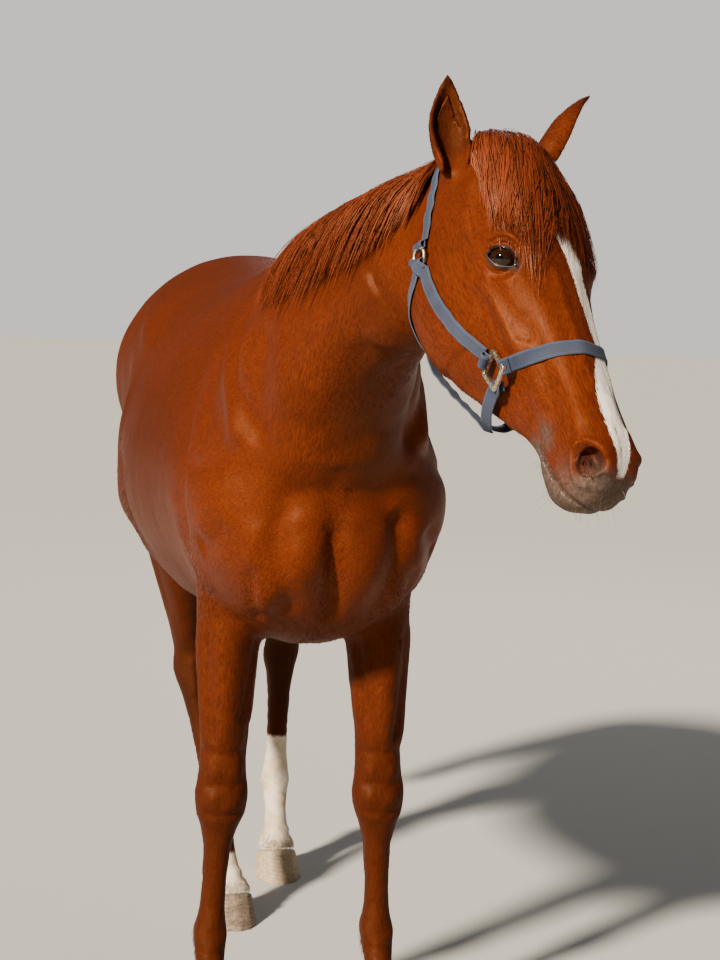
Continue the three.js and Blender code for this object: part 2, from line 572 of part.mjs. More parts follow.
const headGroup = new THREE.Group();
headGroup.applyMatrix4(headMatrix);
parts.add(headGroup);
add(headGroup, 'head', head, COAT, 0.45);
const flesh = [headWhole, moved(neck, headMatrix.clone().invert())];
const ears = { right: makeEar(EARS.right), left: makeEar(EARS.left) };
const rings = [];
const cheeks = [];
for (const [word, mirror] of [['right', (guides) => guides], ['left', onLeft]]) {
  const [cheekSpot, squareSpot] = mirror([CHEEK_RING, SQUARE_RING]);
  const path = mirror(CHEEK_PATH);
  const torus = new THREE.TorusGeometry(ROUND_RING.radius, ROUND_RING.wire, 5, 16);
  const round = placedRing(torus, cheekSpot, path[2]);
  const square = placedRing(squareFrame(SQUARE_FRAME), squareSpot, path[3]);
  add(headGroup, `halter_ring_${word}`, round, METAL, 0.3, 0.9);
  add(headGroup, `halter_square_${word}`, square, METAL, 0.3, 0.9);
  rings.push(round, square);
  cheeks.push(outside(makeStrap(path), ...flesh, round, square));
  add(headGroup, `halter_cheek_${word}`, cheeks.at(-1), WEBBING_BLUE, 0.85);
}
const strap = (name, guides, ...neighbours) => {
  const piece = outside(makeStrap(guides), ...flesh, ...rings, ...cheeks, ...neighbours);
  add(headGroup, name, piece, WEBBING_BLUE, 0.85);
  return piece;
};
const crown = strap('halter_crown', overTop(CROWN_PATH));
const throat = strap('halter_throat', underJaw(THROAT_PATH), crown);
const chin = strap('halter_chin', underJaw(CHIN_PATH));
strap('halter_noseband', overTop(NOSE_PATH));
strap('halter_jaw', JAW_PATH, throat, chin);
for (const [word, side] of [['right', -1], ['left', 1]]) {
  add(headGroup, `eye_${word}`, eyeball(side), EYE_BROWN, 0.05);
  add(headGroup, `ear_${word}`, outside(ears[word], ...flesh, crown), COAT, 0.5);
}
add(headGroup, 'forelock', outside(makeForelock(), ...flesh, ears.right, ears.left, crown), HAIR, 0.7);

add(parts, 'mane', outside(makeMane(), neck, trunk, moved(headWhole, headMatrix), moved(crown, headMatrix)),
  HAIR, 0.7);

parts.position.set(CENTRE_SHIFT[0], CENTRE_SHIFT[1], -FLOOR);
export default parts;
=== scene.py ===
"""A life-size still model of a chestnut riding horse in a webbing headcollar, as a museum shows one."""

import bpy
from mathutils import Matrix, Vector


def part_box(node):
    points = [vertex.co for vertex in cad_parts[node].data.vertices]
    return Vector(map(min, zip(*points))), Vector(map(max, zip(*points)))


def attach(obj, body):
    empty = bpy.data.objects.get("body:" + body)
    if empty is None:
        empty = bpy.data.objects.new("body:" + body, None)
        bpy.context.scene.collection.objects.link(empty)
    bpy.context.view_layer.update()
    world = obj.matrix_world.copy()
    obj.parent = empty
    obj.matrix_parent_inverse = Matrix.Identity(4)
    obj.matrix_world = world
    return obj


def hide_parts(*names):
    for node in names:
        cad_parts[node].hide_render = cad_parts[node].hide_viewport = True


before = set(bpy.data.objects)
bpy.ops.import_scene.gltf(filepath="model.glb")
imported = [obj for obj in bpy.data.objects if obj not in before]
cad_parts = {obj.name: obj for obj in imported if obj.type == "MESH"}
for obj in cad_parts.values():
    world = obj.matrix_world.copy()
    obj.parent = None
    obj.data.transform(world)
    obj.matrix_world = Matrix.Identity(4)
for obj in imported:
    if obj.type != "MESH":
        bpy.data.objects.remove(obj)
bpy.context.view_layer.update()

# The hall the model stands in: a pale level floor, a warm sun lamp from high on the visitor's left that casts
# one shadow, a weak cool lamp opposite, one behind for the back, and walls that look pale but shed little light.
import math

import bmesh
import bpy
import numpy as np
from mathutils import Matrix, Vector
from mathutils.bvhtree import BVHTree


def material(name, **sockets):
    """A new material with its principled shader; sockets are set directly by their names."""
    made = bpy.data.materials.new(name)
    made.use_nodes = True
    shader = made.node_tree.nodes["Principled BSDF"]
    for socket, value in sockets.items():
        shader.inputs[socket.replace("_", " ")].default_value = value
    return made, made.node_tree, shader


def srgb(*channels):
    """A colour given as 0 to 255, as linear light."""
    return (*(((c / 255 + 0.055) / 1.055) ** 2.4 if c > 10 else c / 3295 for c in channels), 1.0)


def object_from(name, points, faces, finish=None, smooth=True):
    """A mesh object of the given points and faces, linked and shaded smooth."""
    mesh = bpy.data.meshes.new(name)
    mesh.vertices.add(len(points))
    mesh.vertices.foreach_set("co", np.asarray(points, np.float32).ravel())
    sizes = np.array([len(f) for f in faces], np.int32)
    mesh.loops.add(int(sizes.sum()))
    mesh.loops.foreach_set("vertex_index", np.concatenate([np.asarray(f, np.int32) for f in faces]))
    mesh.polygons.add(len(sizes))
    mesh.polygons.foreach_set("loop_start", np.concatenate([[0], np.cumsum(sizes)[:-1]]).astype(np.int32))
    mesh.update(calc_edges=True)
    mesh.validate()
    if smooth:
        mesh.polygons.foreach_set("use_smooth", np.ones(len(mesh.polygons), bool))
    made = bpy.data.objects.new(name, mesh)
    bpy.context.scene.collection.objects.link(made)
    if finish:
        mesh.materials.append(finish)
    return made


floor_points = [(x * 30, y * 30, 0) for x, y in ((-1, -1), (1, -1), (1, 1), (-1, 1))]
floor_paint, tree, shader = material("studio_floor", Base_Color=srgb(186, 184, 178), Roughness=0.75)
speckle = tree.nodes.new("ShaderNodeTexNoise")
speckle.inputs["Scale"].default_value = 90
tint = tree.nodes.new("ShaderNodeMix")
tint.data_type = "RGBA"
tint.inputs["A"].default_value = srgb(183, 181, 175)
tint.inputs["B"].default_value = srgb(190, 188, 183)
where = tree.nodes.new("ShaderNodeTexCoord")
tree.links.new(where.outputs["Object"], speckle.inputs["Vector"])
tree.links.new(speckle.outputs["Fac"], tint.inputs["Factor"])
tree.links.new(tint.outputs["Result"], shader.inputs["Base Color"])
floor = object_from("floor", floor_points, [(0, 1, 2, 3)], floor_paint, smooth=False)

sky = bpy.data.worlds.new("hall")
sky.use_nodes = True
seen = sky.node_tree.nodes["Background"]
seen.inputs["Color"].default_value, seen.inputs["Strength"].default_value = srgb(228, 225, 218), 1.08
shed = sky.node_tree.nodes.new("ShaderNodeBackground")
shed.inputs["Color"].default_value, shed.inputs["Strength"].default_value = srgb(226, 228, 232), 0.12
either = sky.node_tree.nodes.new("ShaderNodeMixShader")
rays = sky.node_tree.nodes.new("ShaderNodeLightPath")
sky.node_tree.links.new(rays.outputs["Is Camera Ray"], either.inputs["Fac"])
sky.node_tree.links.new(shed.outputs["Background"], either.inputs[1])
sky.node_tree.links.new(seen.outputs["Background"], either.inputs[2])
sky.node_tree.links.new(either.outputs["Shader"], sky.node_tree.nodes["World Output"].inputs["Surface"])
bpy.context.scene.world = sky


def lamp(name, place, aim, size, power, colour):
    light = bpy.data.lights.new(name, "AREA")
    light.shape, light.size, light.size_y = "RECTANGLE", size[0], size[1]
    light.energy, light.color = power, colour
    holder = bpy.data.objects.new(name, light)
    holder.location = place
    holder.rotation_euler = (Vector(aim) - Vector(place)).to_track_quat("-Z", "Y").to_euler()
    bpy.context.scene.collection.objects.link(holder)


low_sun = bpy.data.lights.new("key", "SUN")
low_sun.energy, low_sun.angle, low_sun.color = 11.4, 0.10, (1.0, 0.89, 0.74)
holder = bpy.data.objects.new("key", low_sun)
holder.rotation_euler = Vector((0.66, 0.54, -0.52)).to_track_quat("-Z", "Y").to_euler()
bpy.context.scene.collection.objects.link(holder)
lamp("fill", (4.5, -3.5, 3.0), (0, -0.3, 1.1), (3.0, 3.0), 16, (0.86, 0.92, 1.0))
lamp("back", (2.5, 5.0, 4.0), (0, 0.3, 1.0), (3.0, 2.0), 60, (1.0, 0.97, 0.93))

# The visitor stands a little to the horse's right, 3 m in front of its head, with eyes at 1.6 m.
place = Vector((-0.705, -4.213, 1.589))
yaw, pitch, roll, focal = 0.196, 0.110, -0.040, 2055 / 960 * 36
across = Vector((math.cos(yaw), -math.sin(yaw), 0))
level = Vector((math.sin(yaw), math.cos(yaw), 0))
ahead = level * math.cos(pitch) - Vector((0, 0, math.sin(pitch)))
upright = level * math.sin(pitch) + Vector((0, 0, math.cos(pitch)))
right = across * math.cos(roll) - upright * math.sin(roll)
top = across * math.sin(roll) + upright * math.cos(roll)
lens = bpy.data.cameras.new("visitor")
lens.lens, lens.sensor_width, lens.sensor_fit = focal, 36, "AUTO"
camera = bpy.data.objects.new("visitor", lens)
camera.matrix_world = Matrix((right, top, -ahead)).transposed().to_4x4()
camera.location = place
bpy.context.scene.collection.objects.link(camera)
bpy.context.scene.camera = camera


# The skin. One hide is stretched over the whole body: trunk, neck, head, ears and legs are copied, each grown
# by a hair so that neighbours meet, joined into one closed surface, smoothed as flesh, and drawn in by the
# depth of the coat. The muscles, bones, eyelids, nostrils and lips are then modelled into it, stroke by stroke.
FLESH = ["trunk", "neck", "head", "ear_right", "ear_left",
         "foreleg_right", "foreleg_left", "hindleg_right", "hindleg_left"]
HEAD_SIDE = ["head", "ear_right", "ear_left", "eye_right", "eye_left"]


def copied(names, grow):
    """One mesh of copies of CAD nodes, each welded and grown outwards by grow, the thin ears more."""
    whole = bmesh.new()
    for name in names:
        piece = bmesh.new()
        piece.from_mesh(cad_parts[name].data)
        bmesh.ops.remove_doubles(piece, verts=piece.verts, dist=1e-5)
        bmesh.ops.recalc_face_normals(piece, faces=piece.faces)
        piece.normal_update()
        for vertex, normal in [(v, v.normal.copy()) for v in piece.verts]:
            vertex.co += normal * (grow + 0.0012 * name.startswith("ear"))
        own = bpy.data.meshes.new("copy")
        piece.to_mesh(own)
        piece.free()
        whole.from_mesh(own)
        bpy.data.meshes.remove(own)
    mesh = bpy.data.meshes.new("joined")
    whole.to_mesh(mesh)
    whole.free()
    return mesh


def welded(mesh, voxel):
    """The outer surface of everything in a mesh, as even faces about one voxel across: points, quads."""
    holder = bpy.data.objects.new("weld", mesh)
    bpy.context.scene.collection.objects.link(holder)
    remesh = holder.modifiers.new("weld", "REMESH")
    remesh.mode, remesh.voxel_size, remesh.use_smooth_shade = "VOXEL", voxel, True
    made = bpy.data.meshes.new_from_object(holder.evaluated_get(bpy.context.evaluated_depsgraph_get()))
    bpy.data.objects.remove(holder)
    points, faces = arrays(made)
    bpy.data.meshes.remove(made)
    return points, faces


def arrays(mesh):
    """A mesh's points and its faces, all of one size, as arrays."""
    points = np.zeros(len(mesh.vertices) * 3, np.float32)
    mesh.vertices.foreach_get("co", points)
    corners = np.zeros(len(mesh.loops), np.int32)
    mesh.loops.foreach_get("vertex_index", corners)
    return points.reshape(-1, 3).astype(float), corners.reshape(len(mesh.polygons), -1)


def edges_of(faces):
    """Every edge of the faces once, as pairs of point numbers."""
    pairs = np.concatenate([np.stack([faces[:, i], faces[:, (i + 1) % faces.shape[1]]], 1)
                            for i in range(faces.shape[1])])
    pairs.sort(axis=1)
    return np.unique(pairs, axis=0)


def neighbours(pairs, count):
    """A table of each point's neighbours, filled up with the point itself, and how many it truly has."""
    ends = np.concatenate([pairs[:, 0], pairs[:, 1]])
    others = np.concatenate([pairs[:, 1], pairs[:, 0]])
    order = np.argsort(ends, kind="stable")
    ends, others = ends[order], others[order]
    degree = np.bincount(ends, minlength=count)
    slot = np.arange(len(ends)) - np.repeat(np.cumsum(degree) - degree, degree)
    most = min(int(degree.max()), 9)
    table = np.repeat(np.arange(count)[:, None], most, 1)
    fits = slot < most
    table[ends[fits], slot[fits]] = others[fits]
    return table, np.minimum(degree, most)


def relaxed(points, faces, softness, spacing):
    """Points smoothed as by a soft brush whose radius at each point is its softness, in metres."""
    table, degree = neighbours(edges_of(faces), len(points))
    turns = max(1, int(math.ceil((softness.max() / spacing) ** 2 / 0.27)))
    share = np.clip(softness ** 2 / (0.5 * turns * spacing ** 2), 0, 0.6) / np.maximum(degree, 1)
    most = table.shape[1]
    share = share.astype(np.float32)
    moving = np.flatnonzero(softness > 0)
    still = len(moving) == len(points)
    columns = [np.ascontiguousarray(table[moving, i]) for i in range(most)]
    share = share[moving, None]
    points = points.astype(np.float32)
    for _ in range(turns):
        total = points[columns[0]]
        for column in columns[1:]:
            total += points[column]
        here = points if still else points[moving]
        total -= most * here
        total *= share
        if still:
            points += total
        else:
            points[moving] = here + total
    return points.astype(float)


def normals_of(points, faces):
    """Outward unit normals of the points."""
    if faces.shape[1] == 4:
        facing = np.cross(points[faces[:, 2]] - points[faces[:, 0]], points[faces[:, 3]] - points[faces[:, 1]])
    else:
        facing = np.cross(points[faces[:, 1]] - points[faces[:, 0]], points[faces[:, 2]] - points[faces[:, 0]])
    normal = np.stack([np.bincount(faces.ravel(), np.repeat(facing[:, axis], faces.shape[1]), len(points))
                       for axis in range(3)], 1)
    return normal / np.maximum(np.linalg.norm(normal, axis=1), 1e-12)[:, None]


def largest(points, faces):
    """Only the largest connected piece."""
    table, _ = neighbours(edges_of(faces), len(points))
    label = np.arange(len(points))
    while True:
        lower = label[table].min(axis=1)
        lower = np.minimum(lower, lower[lower])
        lower = lower[lower]
        if (lower == label).all():
            break
        label = lower
    keep = label == np.bincount(label).argmax()
    number = np.cumsum(keep) - 1
    return points[keep], number[faces[keep[faces[:, 0]]]]


def middle(name):
    first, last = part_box(name)
    return np.array((first + last) / 2)


def size(name):
    first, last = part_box(name)
    return np.array(last - first)


# The head's own frame, in millimetres: u to its left, a from the poll towards the nose, v out of the forehead.
eyes_apart = middle("eye_left") - middle("eye_right")
head_left = eyes_apart / np.linalg.norm(eyes_apart)
between_eyes = (middle("eye_left") + middle("eye_right")) / 2
between_squares = (middle("halter_square_left") + middle("halter_square_right")) / 2
fall = between_squares - between_eyes
fall -= head_left * (fall @ head_left)
fall /= np.linalg.norm(fall)
dip = math.radians(31.1)
nose_wards = fall * math.cos(dip) + np.cross(fall, head_left) * math.sin(dip)
crown_wards = np.cross(nose_wards, head_left)
poll = between_eyes - nose_wards * 0.202 + crown_wards * 0.056


def in_head(points):
    """Points of the hall in the head's frame, in mm: columns u, a, v."""
    return (np.asarray(points) - poll) @ np.stack([head_left, nose_wards, crown_wards], 1) * 1000


def from_head(places):
    """Places in the head's frame, in mm, as points of the hall."""
    return poll + np.asarray(places, float) @ np.stack([head_left, nose_wards, crown_wards]) / 1000


def ramp(values, start, end):
    """0 before start, 1 after end, turning smoothly."""
    t = np.clip((np.asarray(values, float) - start) / (end - start), 0, 1)
    return t * t * (3 - 2 * t)


body, body_faces = largest(*welded(copied(FLESH, 0.0006), 0.0065))
face, face_faces = largest(*welded(copied(HEAD_SIDE, 0.0006), 0.0028))

# How deep each part is smoothed: the trunk most, the ears hardly at all.
place_in_head = in_head(body)
softness = 0.009 + 0.017 * ramp(body[:, 2], 0.72, 1.0)
softness -= 0.009 * ramp(place_in_head[:, 1], -140, -20) * ramp(place_in_head[:, 2], -420, -340)
softness[(body[:, 2] < 0.95) & (np.abs(body[:, 0]) < 0.4)] *= 0.9
body = relaxed(body, body_faces, softness, 0.0058)
place_in_head = in_head(face)
on_ear = 1 - ramp(place_in_head[:, 1], -10, 45)
face = relaxed(face, face_faces, 0.0085 - 0.0062 * on_ear, 0.0026)
body -= normals_of(body, body_faces) * 0.0030
face -= normals_of(face, face_faces) * (0.0014 - 0.0008 * on_ear[:, None])

head_and_body = object_from("skin", body, body_faces)
other = object_from("head_skin", face, face_faces)
union = head_and_body.modifiers.new("union", "BOOLEAN")
union.operation, union.solver, union.object = "UNION", "MANIFOLD", other
made = bpy.data.meshes.new_from_object(head_and_body.evaluated_get(bpy.context.evaluated_depsgraph_get()))
for spent in (head_and_body, other):
    bpy.data.objects.remove(spent)

# Finer faces round the eyes, nostrils and mouth.
whole = bmesh.new()
whole.from_mesh(made)
spots = in_head([v.co for v in whole.verts])
fine = np.zeros(len(spots), bool)
for side in (-1, 1):
    for spot, reach in (((side * 95, 206, -58), 46), ((side * 48, 574, -55), 42), ((side * 42, 540, -128), 34)):
        fine |= ((spots - spot) ** 2).sum(1) < reach ** 2
fine |= (spots[:, 1] > 575)
whole.verts.ensure_lookup_table()
inner = [e for e in whole.edges if fine[e.verts[0].index] and fine[e.verts[1].index]]
bmesh.ops.subdivide_edges(whole, edges=inner, cuts=1, use_grid_fill=True)
bmesh.ops.triangulate(whole, faces=whole.faces)
whole.to_mesh(made)
whole.free()
skin, skin_faces = arrays(made)
bpy.data.meshes.remove(made)

# Where head and neck were joined, the flesh runs on without a crease.
spots = in_head(skin)
seam = np.exp(-((spots[:, 1] - 6 - 0.05 * (spots[:, 2] + 110)) / 34) ** 2) * ramp(np.abs(spots[:, 0]), 200, 150)
seam *= ramp(spots[:, 2], -380, -330) * (1 - ramp(spots[:, 2], -42, -20))
skin = relaxed(skin, skin_faces, 0.011 * seam, 0.0029)
normal = normals_of(skin, skin_faces)
rise = np.zeros(len(skin))
firm = 1.0


def curve(stops, steps=9):
    """A smooth line through the stops."""
    p = np.asarray(stops, float)
    p = np.concatenate([[2 * p[0] - p[1]], p, [2 * p[-1] - p[-2]]])
    t = np.linspace(0, 1, steps, endpoint=False)[:, None]
    spans = [0.5 * (2 * b + (c - a) * t + (2 * a - 5 * b + 4 * c - d) * t ** 2 + (3 * b - a - 3 * c + d) * t ** 3)
             for a, b, c, d in zip(p, p[1:], p[2:], p[3:])]
    return np.concatenate([*spans, p[-2:-1]])


def beside(flat, where, stops, reach):
    """For points of a flat view near a line: which they are, how far off, how far along, and how far to its left."""
    line = curve(stops)
    low, high = line.min(0) - reach, line.max(0) + reach
    index = np.flatnonzero(where & (flat >= low).all(1) & (flat <= high).all(1))
    if not len(index):
        return index, index, index, index
    q = flat[index]
    best = np.full(len(index), 1e9)
    along = np.zeros(len(index))
    left = np.zeros(len(index))
    for i, (a, b) in enumerate(zip(line, line[1:])):
        way = b - a
        t = np.clip(((q - a) @ way) / (way @ way), 0, 1)
        off = q - a - t[:, None] * way
        far = np.hypot(off[:, 0], off[:, 1])
        nearer = far < best
        best[nearer] = far[nearer]
        along[nearer] = (i + t[nearer]) / (len(line) - 1)
        left[nearer] = (way[0] * off[nearer, 1] - way[1] * off[nearer, 0]) / np.linalg.norm(way)
    keep = best < reach
    return index[keep], best[keep], along[keep], left[keep]


def ridge(flat, where, stops, width, height, ends=0.18):
    """Raises (or with a negative height, sinks) a soft line, fading at its ends."""
    index, off, along, _ = beside(flat, where, stops, width * 2.6)
    if len(index):
        fade = np.clip(np.minimum(along, 1 - along) / max(ends, 1e-6), 0, 1)
        rise[index] += firm * height / 1000 * np.exp(-(off / width) ** 2) * fade * (2 - fade)


def edge(flat, where, stops, width, height, reach, ends=0.15):
    """The edge of a muscle: its left side stands up within width of the line and sinks back over reach."""
    index, off, along, left = beside(flat, where, stops, reach * 2.2)
    if len(index):
        fade = np.clip(np.minimum(along, 1 - along) / ends, 0, 1)
        rise[index] += (firm * height / 1000 * ramp(left, -width, width)
                        * np.exp(-(np.maximum(left, 0) / reach) ** 2) * fade)


def swell(flat, where, centre, radii, height, turn=0):
    """Raises a soft oval mound, or sinks a hollow; turn, in degrees, lays its first radius askew."""
    c, s = math.cos(math.radians(turn)), math.sin(math.radians(turn))
    q = flat - np.asarray(centre, float)
    far = ((q[:, 0] * c + q[:, 1] * s) / radii[0]) ** 2 + ((q[:, 1] * c - q[:, 0] * s) / radii[1]) ** 2
    index = np.flatnonzero(where & (far < 7))
    rise[index] += firm * height / 1000 * np.exp(-far[index])


# The head: brow and salt cellar, cheekbone and facial crest, the round jaw muscle, the nose bones, the veins.
spots = in_head(skin)
is_head = (spots[:, 1] > 14) & (spots[:, 2] > -330) & (np.abs(spots[:, 0]) < 130)
profile_view, brow_view = spots[:, [1, 2]], spots[:, [0, 1]]
for side in (-1, 1):
    cheek = is_head & (side * spots[:, 0] > 12)
    ridge(profile_view, cheek, [(158, -74), (170, -44), (192, -24), (220, -14), (246, -16)], 11, 5.5)
    ridge(profile_view, cheek, [(176, -32), (204, -14), (236, -2)], 12, 2.5)
    swell(profile_view, cheek, (138, -34), (24, 17), -6.5, -20)
    ridge(profile_view, cheek, [(104, -100), (132, -96), (160, -92), (182, -96)], 10, 4.0)
    swell(profile_view, cheek, (102, -98), (17, 14), 3.5)
    ridge(profile_view, cheek, [(20, -70), (60, -84), (98, -92)], 13, 3.0)
    swell(profile_view, cheek, (66, -52), (34, 18), -3.5, -15)
    ridge(profile_view, cheek, [(206, -104), (240, -98), (290, -96), (340, -98), (366, -100)], 10, 4.2, 0.25)
    ridge(profile_view, cheek, [(214, -82), (250, -74), (300, -72), (352, -74)], 12, -2.5)
    ridge(profile_view, cheek, [(236, -116), (290, -114), (342, -116)], 11, -3.0)
    swell(profile_view, cheek, (176, -196), (74, 66), 5.0, -10)
    edge(profile_view, cheek, [(262, -292), (276, -240), (274, -180), (252, -122)], 8, 4.0, 46)
    ridge(profile_view, cheek, [(118, -262), (160, -284), (206, -288), (250, -276)], 13, 2.5)
    ridge(profile_view, cheek, [(288, -262), (330, -240), (380, -212), (440, -178)], 10, 3.0)
    ridge(profile_view, cheek, [(300, -238), (350, -206), (400, -176)], 12, -3.5)
    ridge(profile_view, cheek, [(250, -30), (320, -34), (400, -40), (470, -46), (520, -46)], 12, 2.2)
    ridge(profile_view, cheek, [(300, -58), (370, -66), (440, -74), (500, -80)], 11, -2.2)
    ridge(profile_view, cheek, [(390, -96), (440, -104), (490, -108), (520, -110)], 14, 2.8)
    ridge(profile_view, cheek, [(388, -142), (430, -144), (480, -140)], 10, 2.0)
    swell(profile_view, cheek, (476, -18), (40, 9), -2.5)
    ridge(profile_view, cheek, [(520, -16), (550, -18), (580, -32)], 9, 2.2)
    # veins, each two or three millimetres proud
    ridge(profile_view, cheek, [(286, -264), (290, -220), (300, -170), (312, -128), (318, -96)], 3.4, 1.1, 0.2)
    ridge(profile_view, cheek, [(312, -128), (340, -84), (384, -58), (430, -46)], 3.2, 0.9, 0.2)
    ridge(profile_view, cheek, [(318, -100), (290, -74), (262, -58), (244, -44)], 3.2, 0.8, 0.2)
    ridge(profile_view, cheek, [(340, -84), (392, -92), (446, -92), (492, -84)], 3.2, 0.8, 0.2)
    ridge(profile_view, cheek, [(130, -110), (176, -120), (216, -118), (250, -106)], 3.2, 0.8, 0.25)
    # folds of skin over the corner of the noseband
    ridge(profile_view, cheek, [(330, -86), (340, -74), (344, -60)], 3.0, -1.4, 0.3)
    # nostril: a thick outer rim, a hollow behind it and the wing that folds in from the top
    nostril = cheek & (spots[:, 1] > 500)
    ridge(profile_view, nostril, [(540, -52), (548, -71), (570, -82), (592, -86), (608, -75)], 5.5, 4.5, 0.1)
    ridge(profile_view, nostril, [(540, -52), (551, -37), (566, -29), (586, -34), (604, -45)], 5.5, 3.6, 0.12)
    ridge(profile_view, nostril, [(604, -80), (613, -63), (606, -44)], 6, 2.4)
    ridge(profile_view, nostril, [(520, -58), (528, -82), (548, -102)], 9, -2.2)
    swell(profile_view, nostril, (576, -58), (23, 14), -15, -8)
    swell(profile_view, nostril, (564, -52), (13, 10), -9, -8)
    ridge(profile_view, nostril, [(602, -50), (588, -56), (572, -64), (560, -68)], 6, 5.5, 0.15)
    # mouth: the lips, the line between them and the soft corner
    lips = [(492, -141), (512, -139), (536, -133), (566, -124), (594, -117), (612, -110), (622, -106)]
    ridge(profile_view, cheek, [(a, v + 13) for a, v in lips[1:]], 9, 3.0, 0.3)
    ridge(profile_view, cheek, [(a, v - 13) for a, v in lips[1:]], 9, 2.6, 0.3)
    ridge(profile_view, is_head & (side * spots[:, 0] > -1), lips, 2.6, -5.5, 0.05)
    ridge(profile_view, cheek, [(478, -122), (486, -140), (482, -158)], 5, -1.6, 0.3)
    ridge(profile_view, cheek, [(462, -118), (468, -140), (464, -158)], 6, -1.2, 0.3)
brow = is_head & (spots[:, 2] > -60)
for side in (-1, 1):
    ridge(brow_view, brow, [(side * 14, 30), (side * 44, 80), (side * 70, 130), (side * 84, 170)], 12, 2.5)
    ridge(brow_view, brow, [(side * 40, 230), (side * 31, 300), (side * 26, 380), (side * 24, 470)], 7, 2.6)
swell(brow_view, brow, (0, 190), (40, 60), 2.0)
ridge(brow_view, brow, [(0, 320), (0, 400), (0, 480)], 12, -1.2)
muzzle_end = is_head & (spots[:, 1] > 560)
front_view = spots[:, [0, 2]]
ridge(front_view, muzzle_end, [(0, -52), (0, -92)], 5, -1.2)
under = is_head & (spots[:, 2] < -120)
swell(brow_view, under, (0, 566), (34, 26), 4.5)
ridge(brow_view, under, [(0, 250), (0, 330), (0, 420)], 16, -5)

# The neck, breast, shoulder, ribs and quarters, seen from the side in mm behind the breast and above the floor.
mm = skin * 1000
side_view, breast_view = mm[:, [1, 2]], mm[:, [0, 2]]
on_face = (spots[:, 1] > 14) & (spots[:, 2] > -345) & (np.abs(spots[:, 0]) < 150)
at_ears = (spots[:, 1] > -170) & (spots[:, 2] > -70) & (spots[:, 1] < 60)
is_body = ~on_face & ~at_ears & (mm[:, 2] > 700)
firm = 1.6
for side in (-1, 1):
    flank = is_body & (side * mm[:, 0] > 0)
    # shoulder blade with its spine, the muscles before and behind it, and the thick muscle of the upper arm
    ridge(side_view, flank, [(-130, 1500), (-250, 1420), (-356, 1340), (-420, 1250), (-455, 1180)], 30, 7)
    ridge(side_view, flank, [(-190, 1500), (-320, 1410), (-420, 1320), (-476, 1230)], 24, -6)
    ridge(side_view, flank, [(-60, 1480), (-170, 1390), (-260, 1300), (-330, 1200)], 30, -4)
    edge(side_view, flank, [(-60, 1430), (-116, 1330), (-224, 1212), (-286, 1130), (-296, 1060), (-235, 985)],
         12, -13, 95)
    swell(side_view, flank, (-330, 1120), (80, 56), 4, 50)
    ridge(side_view, flank, [(-440, 1075), (-390, 1030), (-340, 1020)], 22, -6)
    ridge(side_view, flank, [(-452, 1236), (-400, 1196), (-330, 1170), (-262, 1180)], 18, -5)
    swell(side_view, flank, (-280, 955), (40, 40), 6)
    # neck: the groove of the jugular, the long muscles and the edge below the crest
    ridge(side_view, flank, [(-740, 1440), (-690, 1392), (-640, 1330), (-590, 1262), (-552, 1200)], 20, -9)
    ridge(side_view, flank, [(-800, 1500), (-730, 1420), (-672, 1340), (-610, 1262), (-560, 1196)], 17, 4)
    ridge(side_view, flank, [(-790, 1560), (-690, 1490), (-600, 1400), (-540, 1300)], 34, 5)
    ridge(side_view, flank, [(-760, 1640), (-640, 1600), (-500, 1530), (-360, 1480)], 24, -4)
    ridge(side_view, flank, [(-372, 1450), (-408, 1370), (-424, 1290), (-420, 1210)], 26, 5)
    ridge(side_view, flank, [(-470, 1460), (-486, 1370), (-484, 1290), (-470, 1220)], 20, -5)
    ridge(side_view, flank, [(-540, 1470), (-550, 1370), (-540, 1280)], 22, 3)
    # ribs, only just felt, and the line of the belly and flank
    for i in range(9):
        y = -60 + i * 62
        ridge(side_view, flank, [(y - 10, 1330), (y + 22, 1200), (y + 20, 1080), (y - 16, 960)], 18, 0.3)
    ridge(side_view, flank, [(180, 900), (290, 950), (360, 1040), (380, 1140)], 44, -4)
    swell(side_view, flank, (400, 1290), (90, 76), -5)
    edge(side_view, flank, [(352, 1010), (392, 1100), (420, 1200), (440, 1290)][::-1], 26, 3, 90)
    # point of hip, croup muscles, thigh and stifle
    swell(side_view, flank, (460, 1392), (52, 42), 7, 30)
    ridge(side_view, flank, [(470, 1400), (560, 1440), (660, 1470), (760, 1470)], 40, 3)
    ridge(side_view, flank, [(520, 1350), (620, 1400), (740, 1420)], 46, -3)
    ridge(side_view, flank, [(800, 1400), (850, 1300), (850, 1180), (800, 1060), (740, 960)], 36, 3)
    ridge(side_view, flank, [(740, 1400), (790, 1290), (780, 1170), (730, 1050)], 26, -3.2)
    ridge(side_view, flank, [(600, 1330), (640, 1200), (620, 1080)], 44, -2.4)
    swell(side_view, flank, (455, 1000), (46, 60), 7)
breast = is_body & (mm[:, 1] < -360) & (mm[:, 2] > 820) & (mm[:, 2] < 1260)
firm = 1.0
ridge(breast_view, breast, [(-14, 1100), (-11, 1040), (-4, 965), (6, 885)], 17, -17, 0.25)
ridge(breast_view, breast, [(-16, 1200), (-14, 1090)], 26, -5)
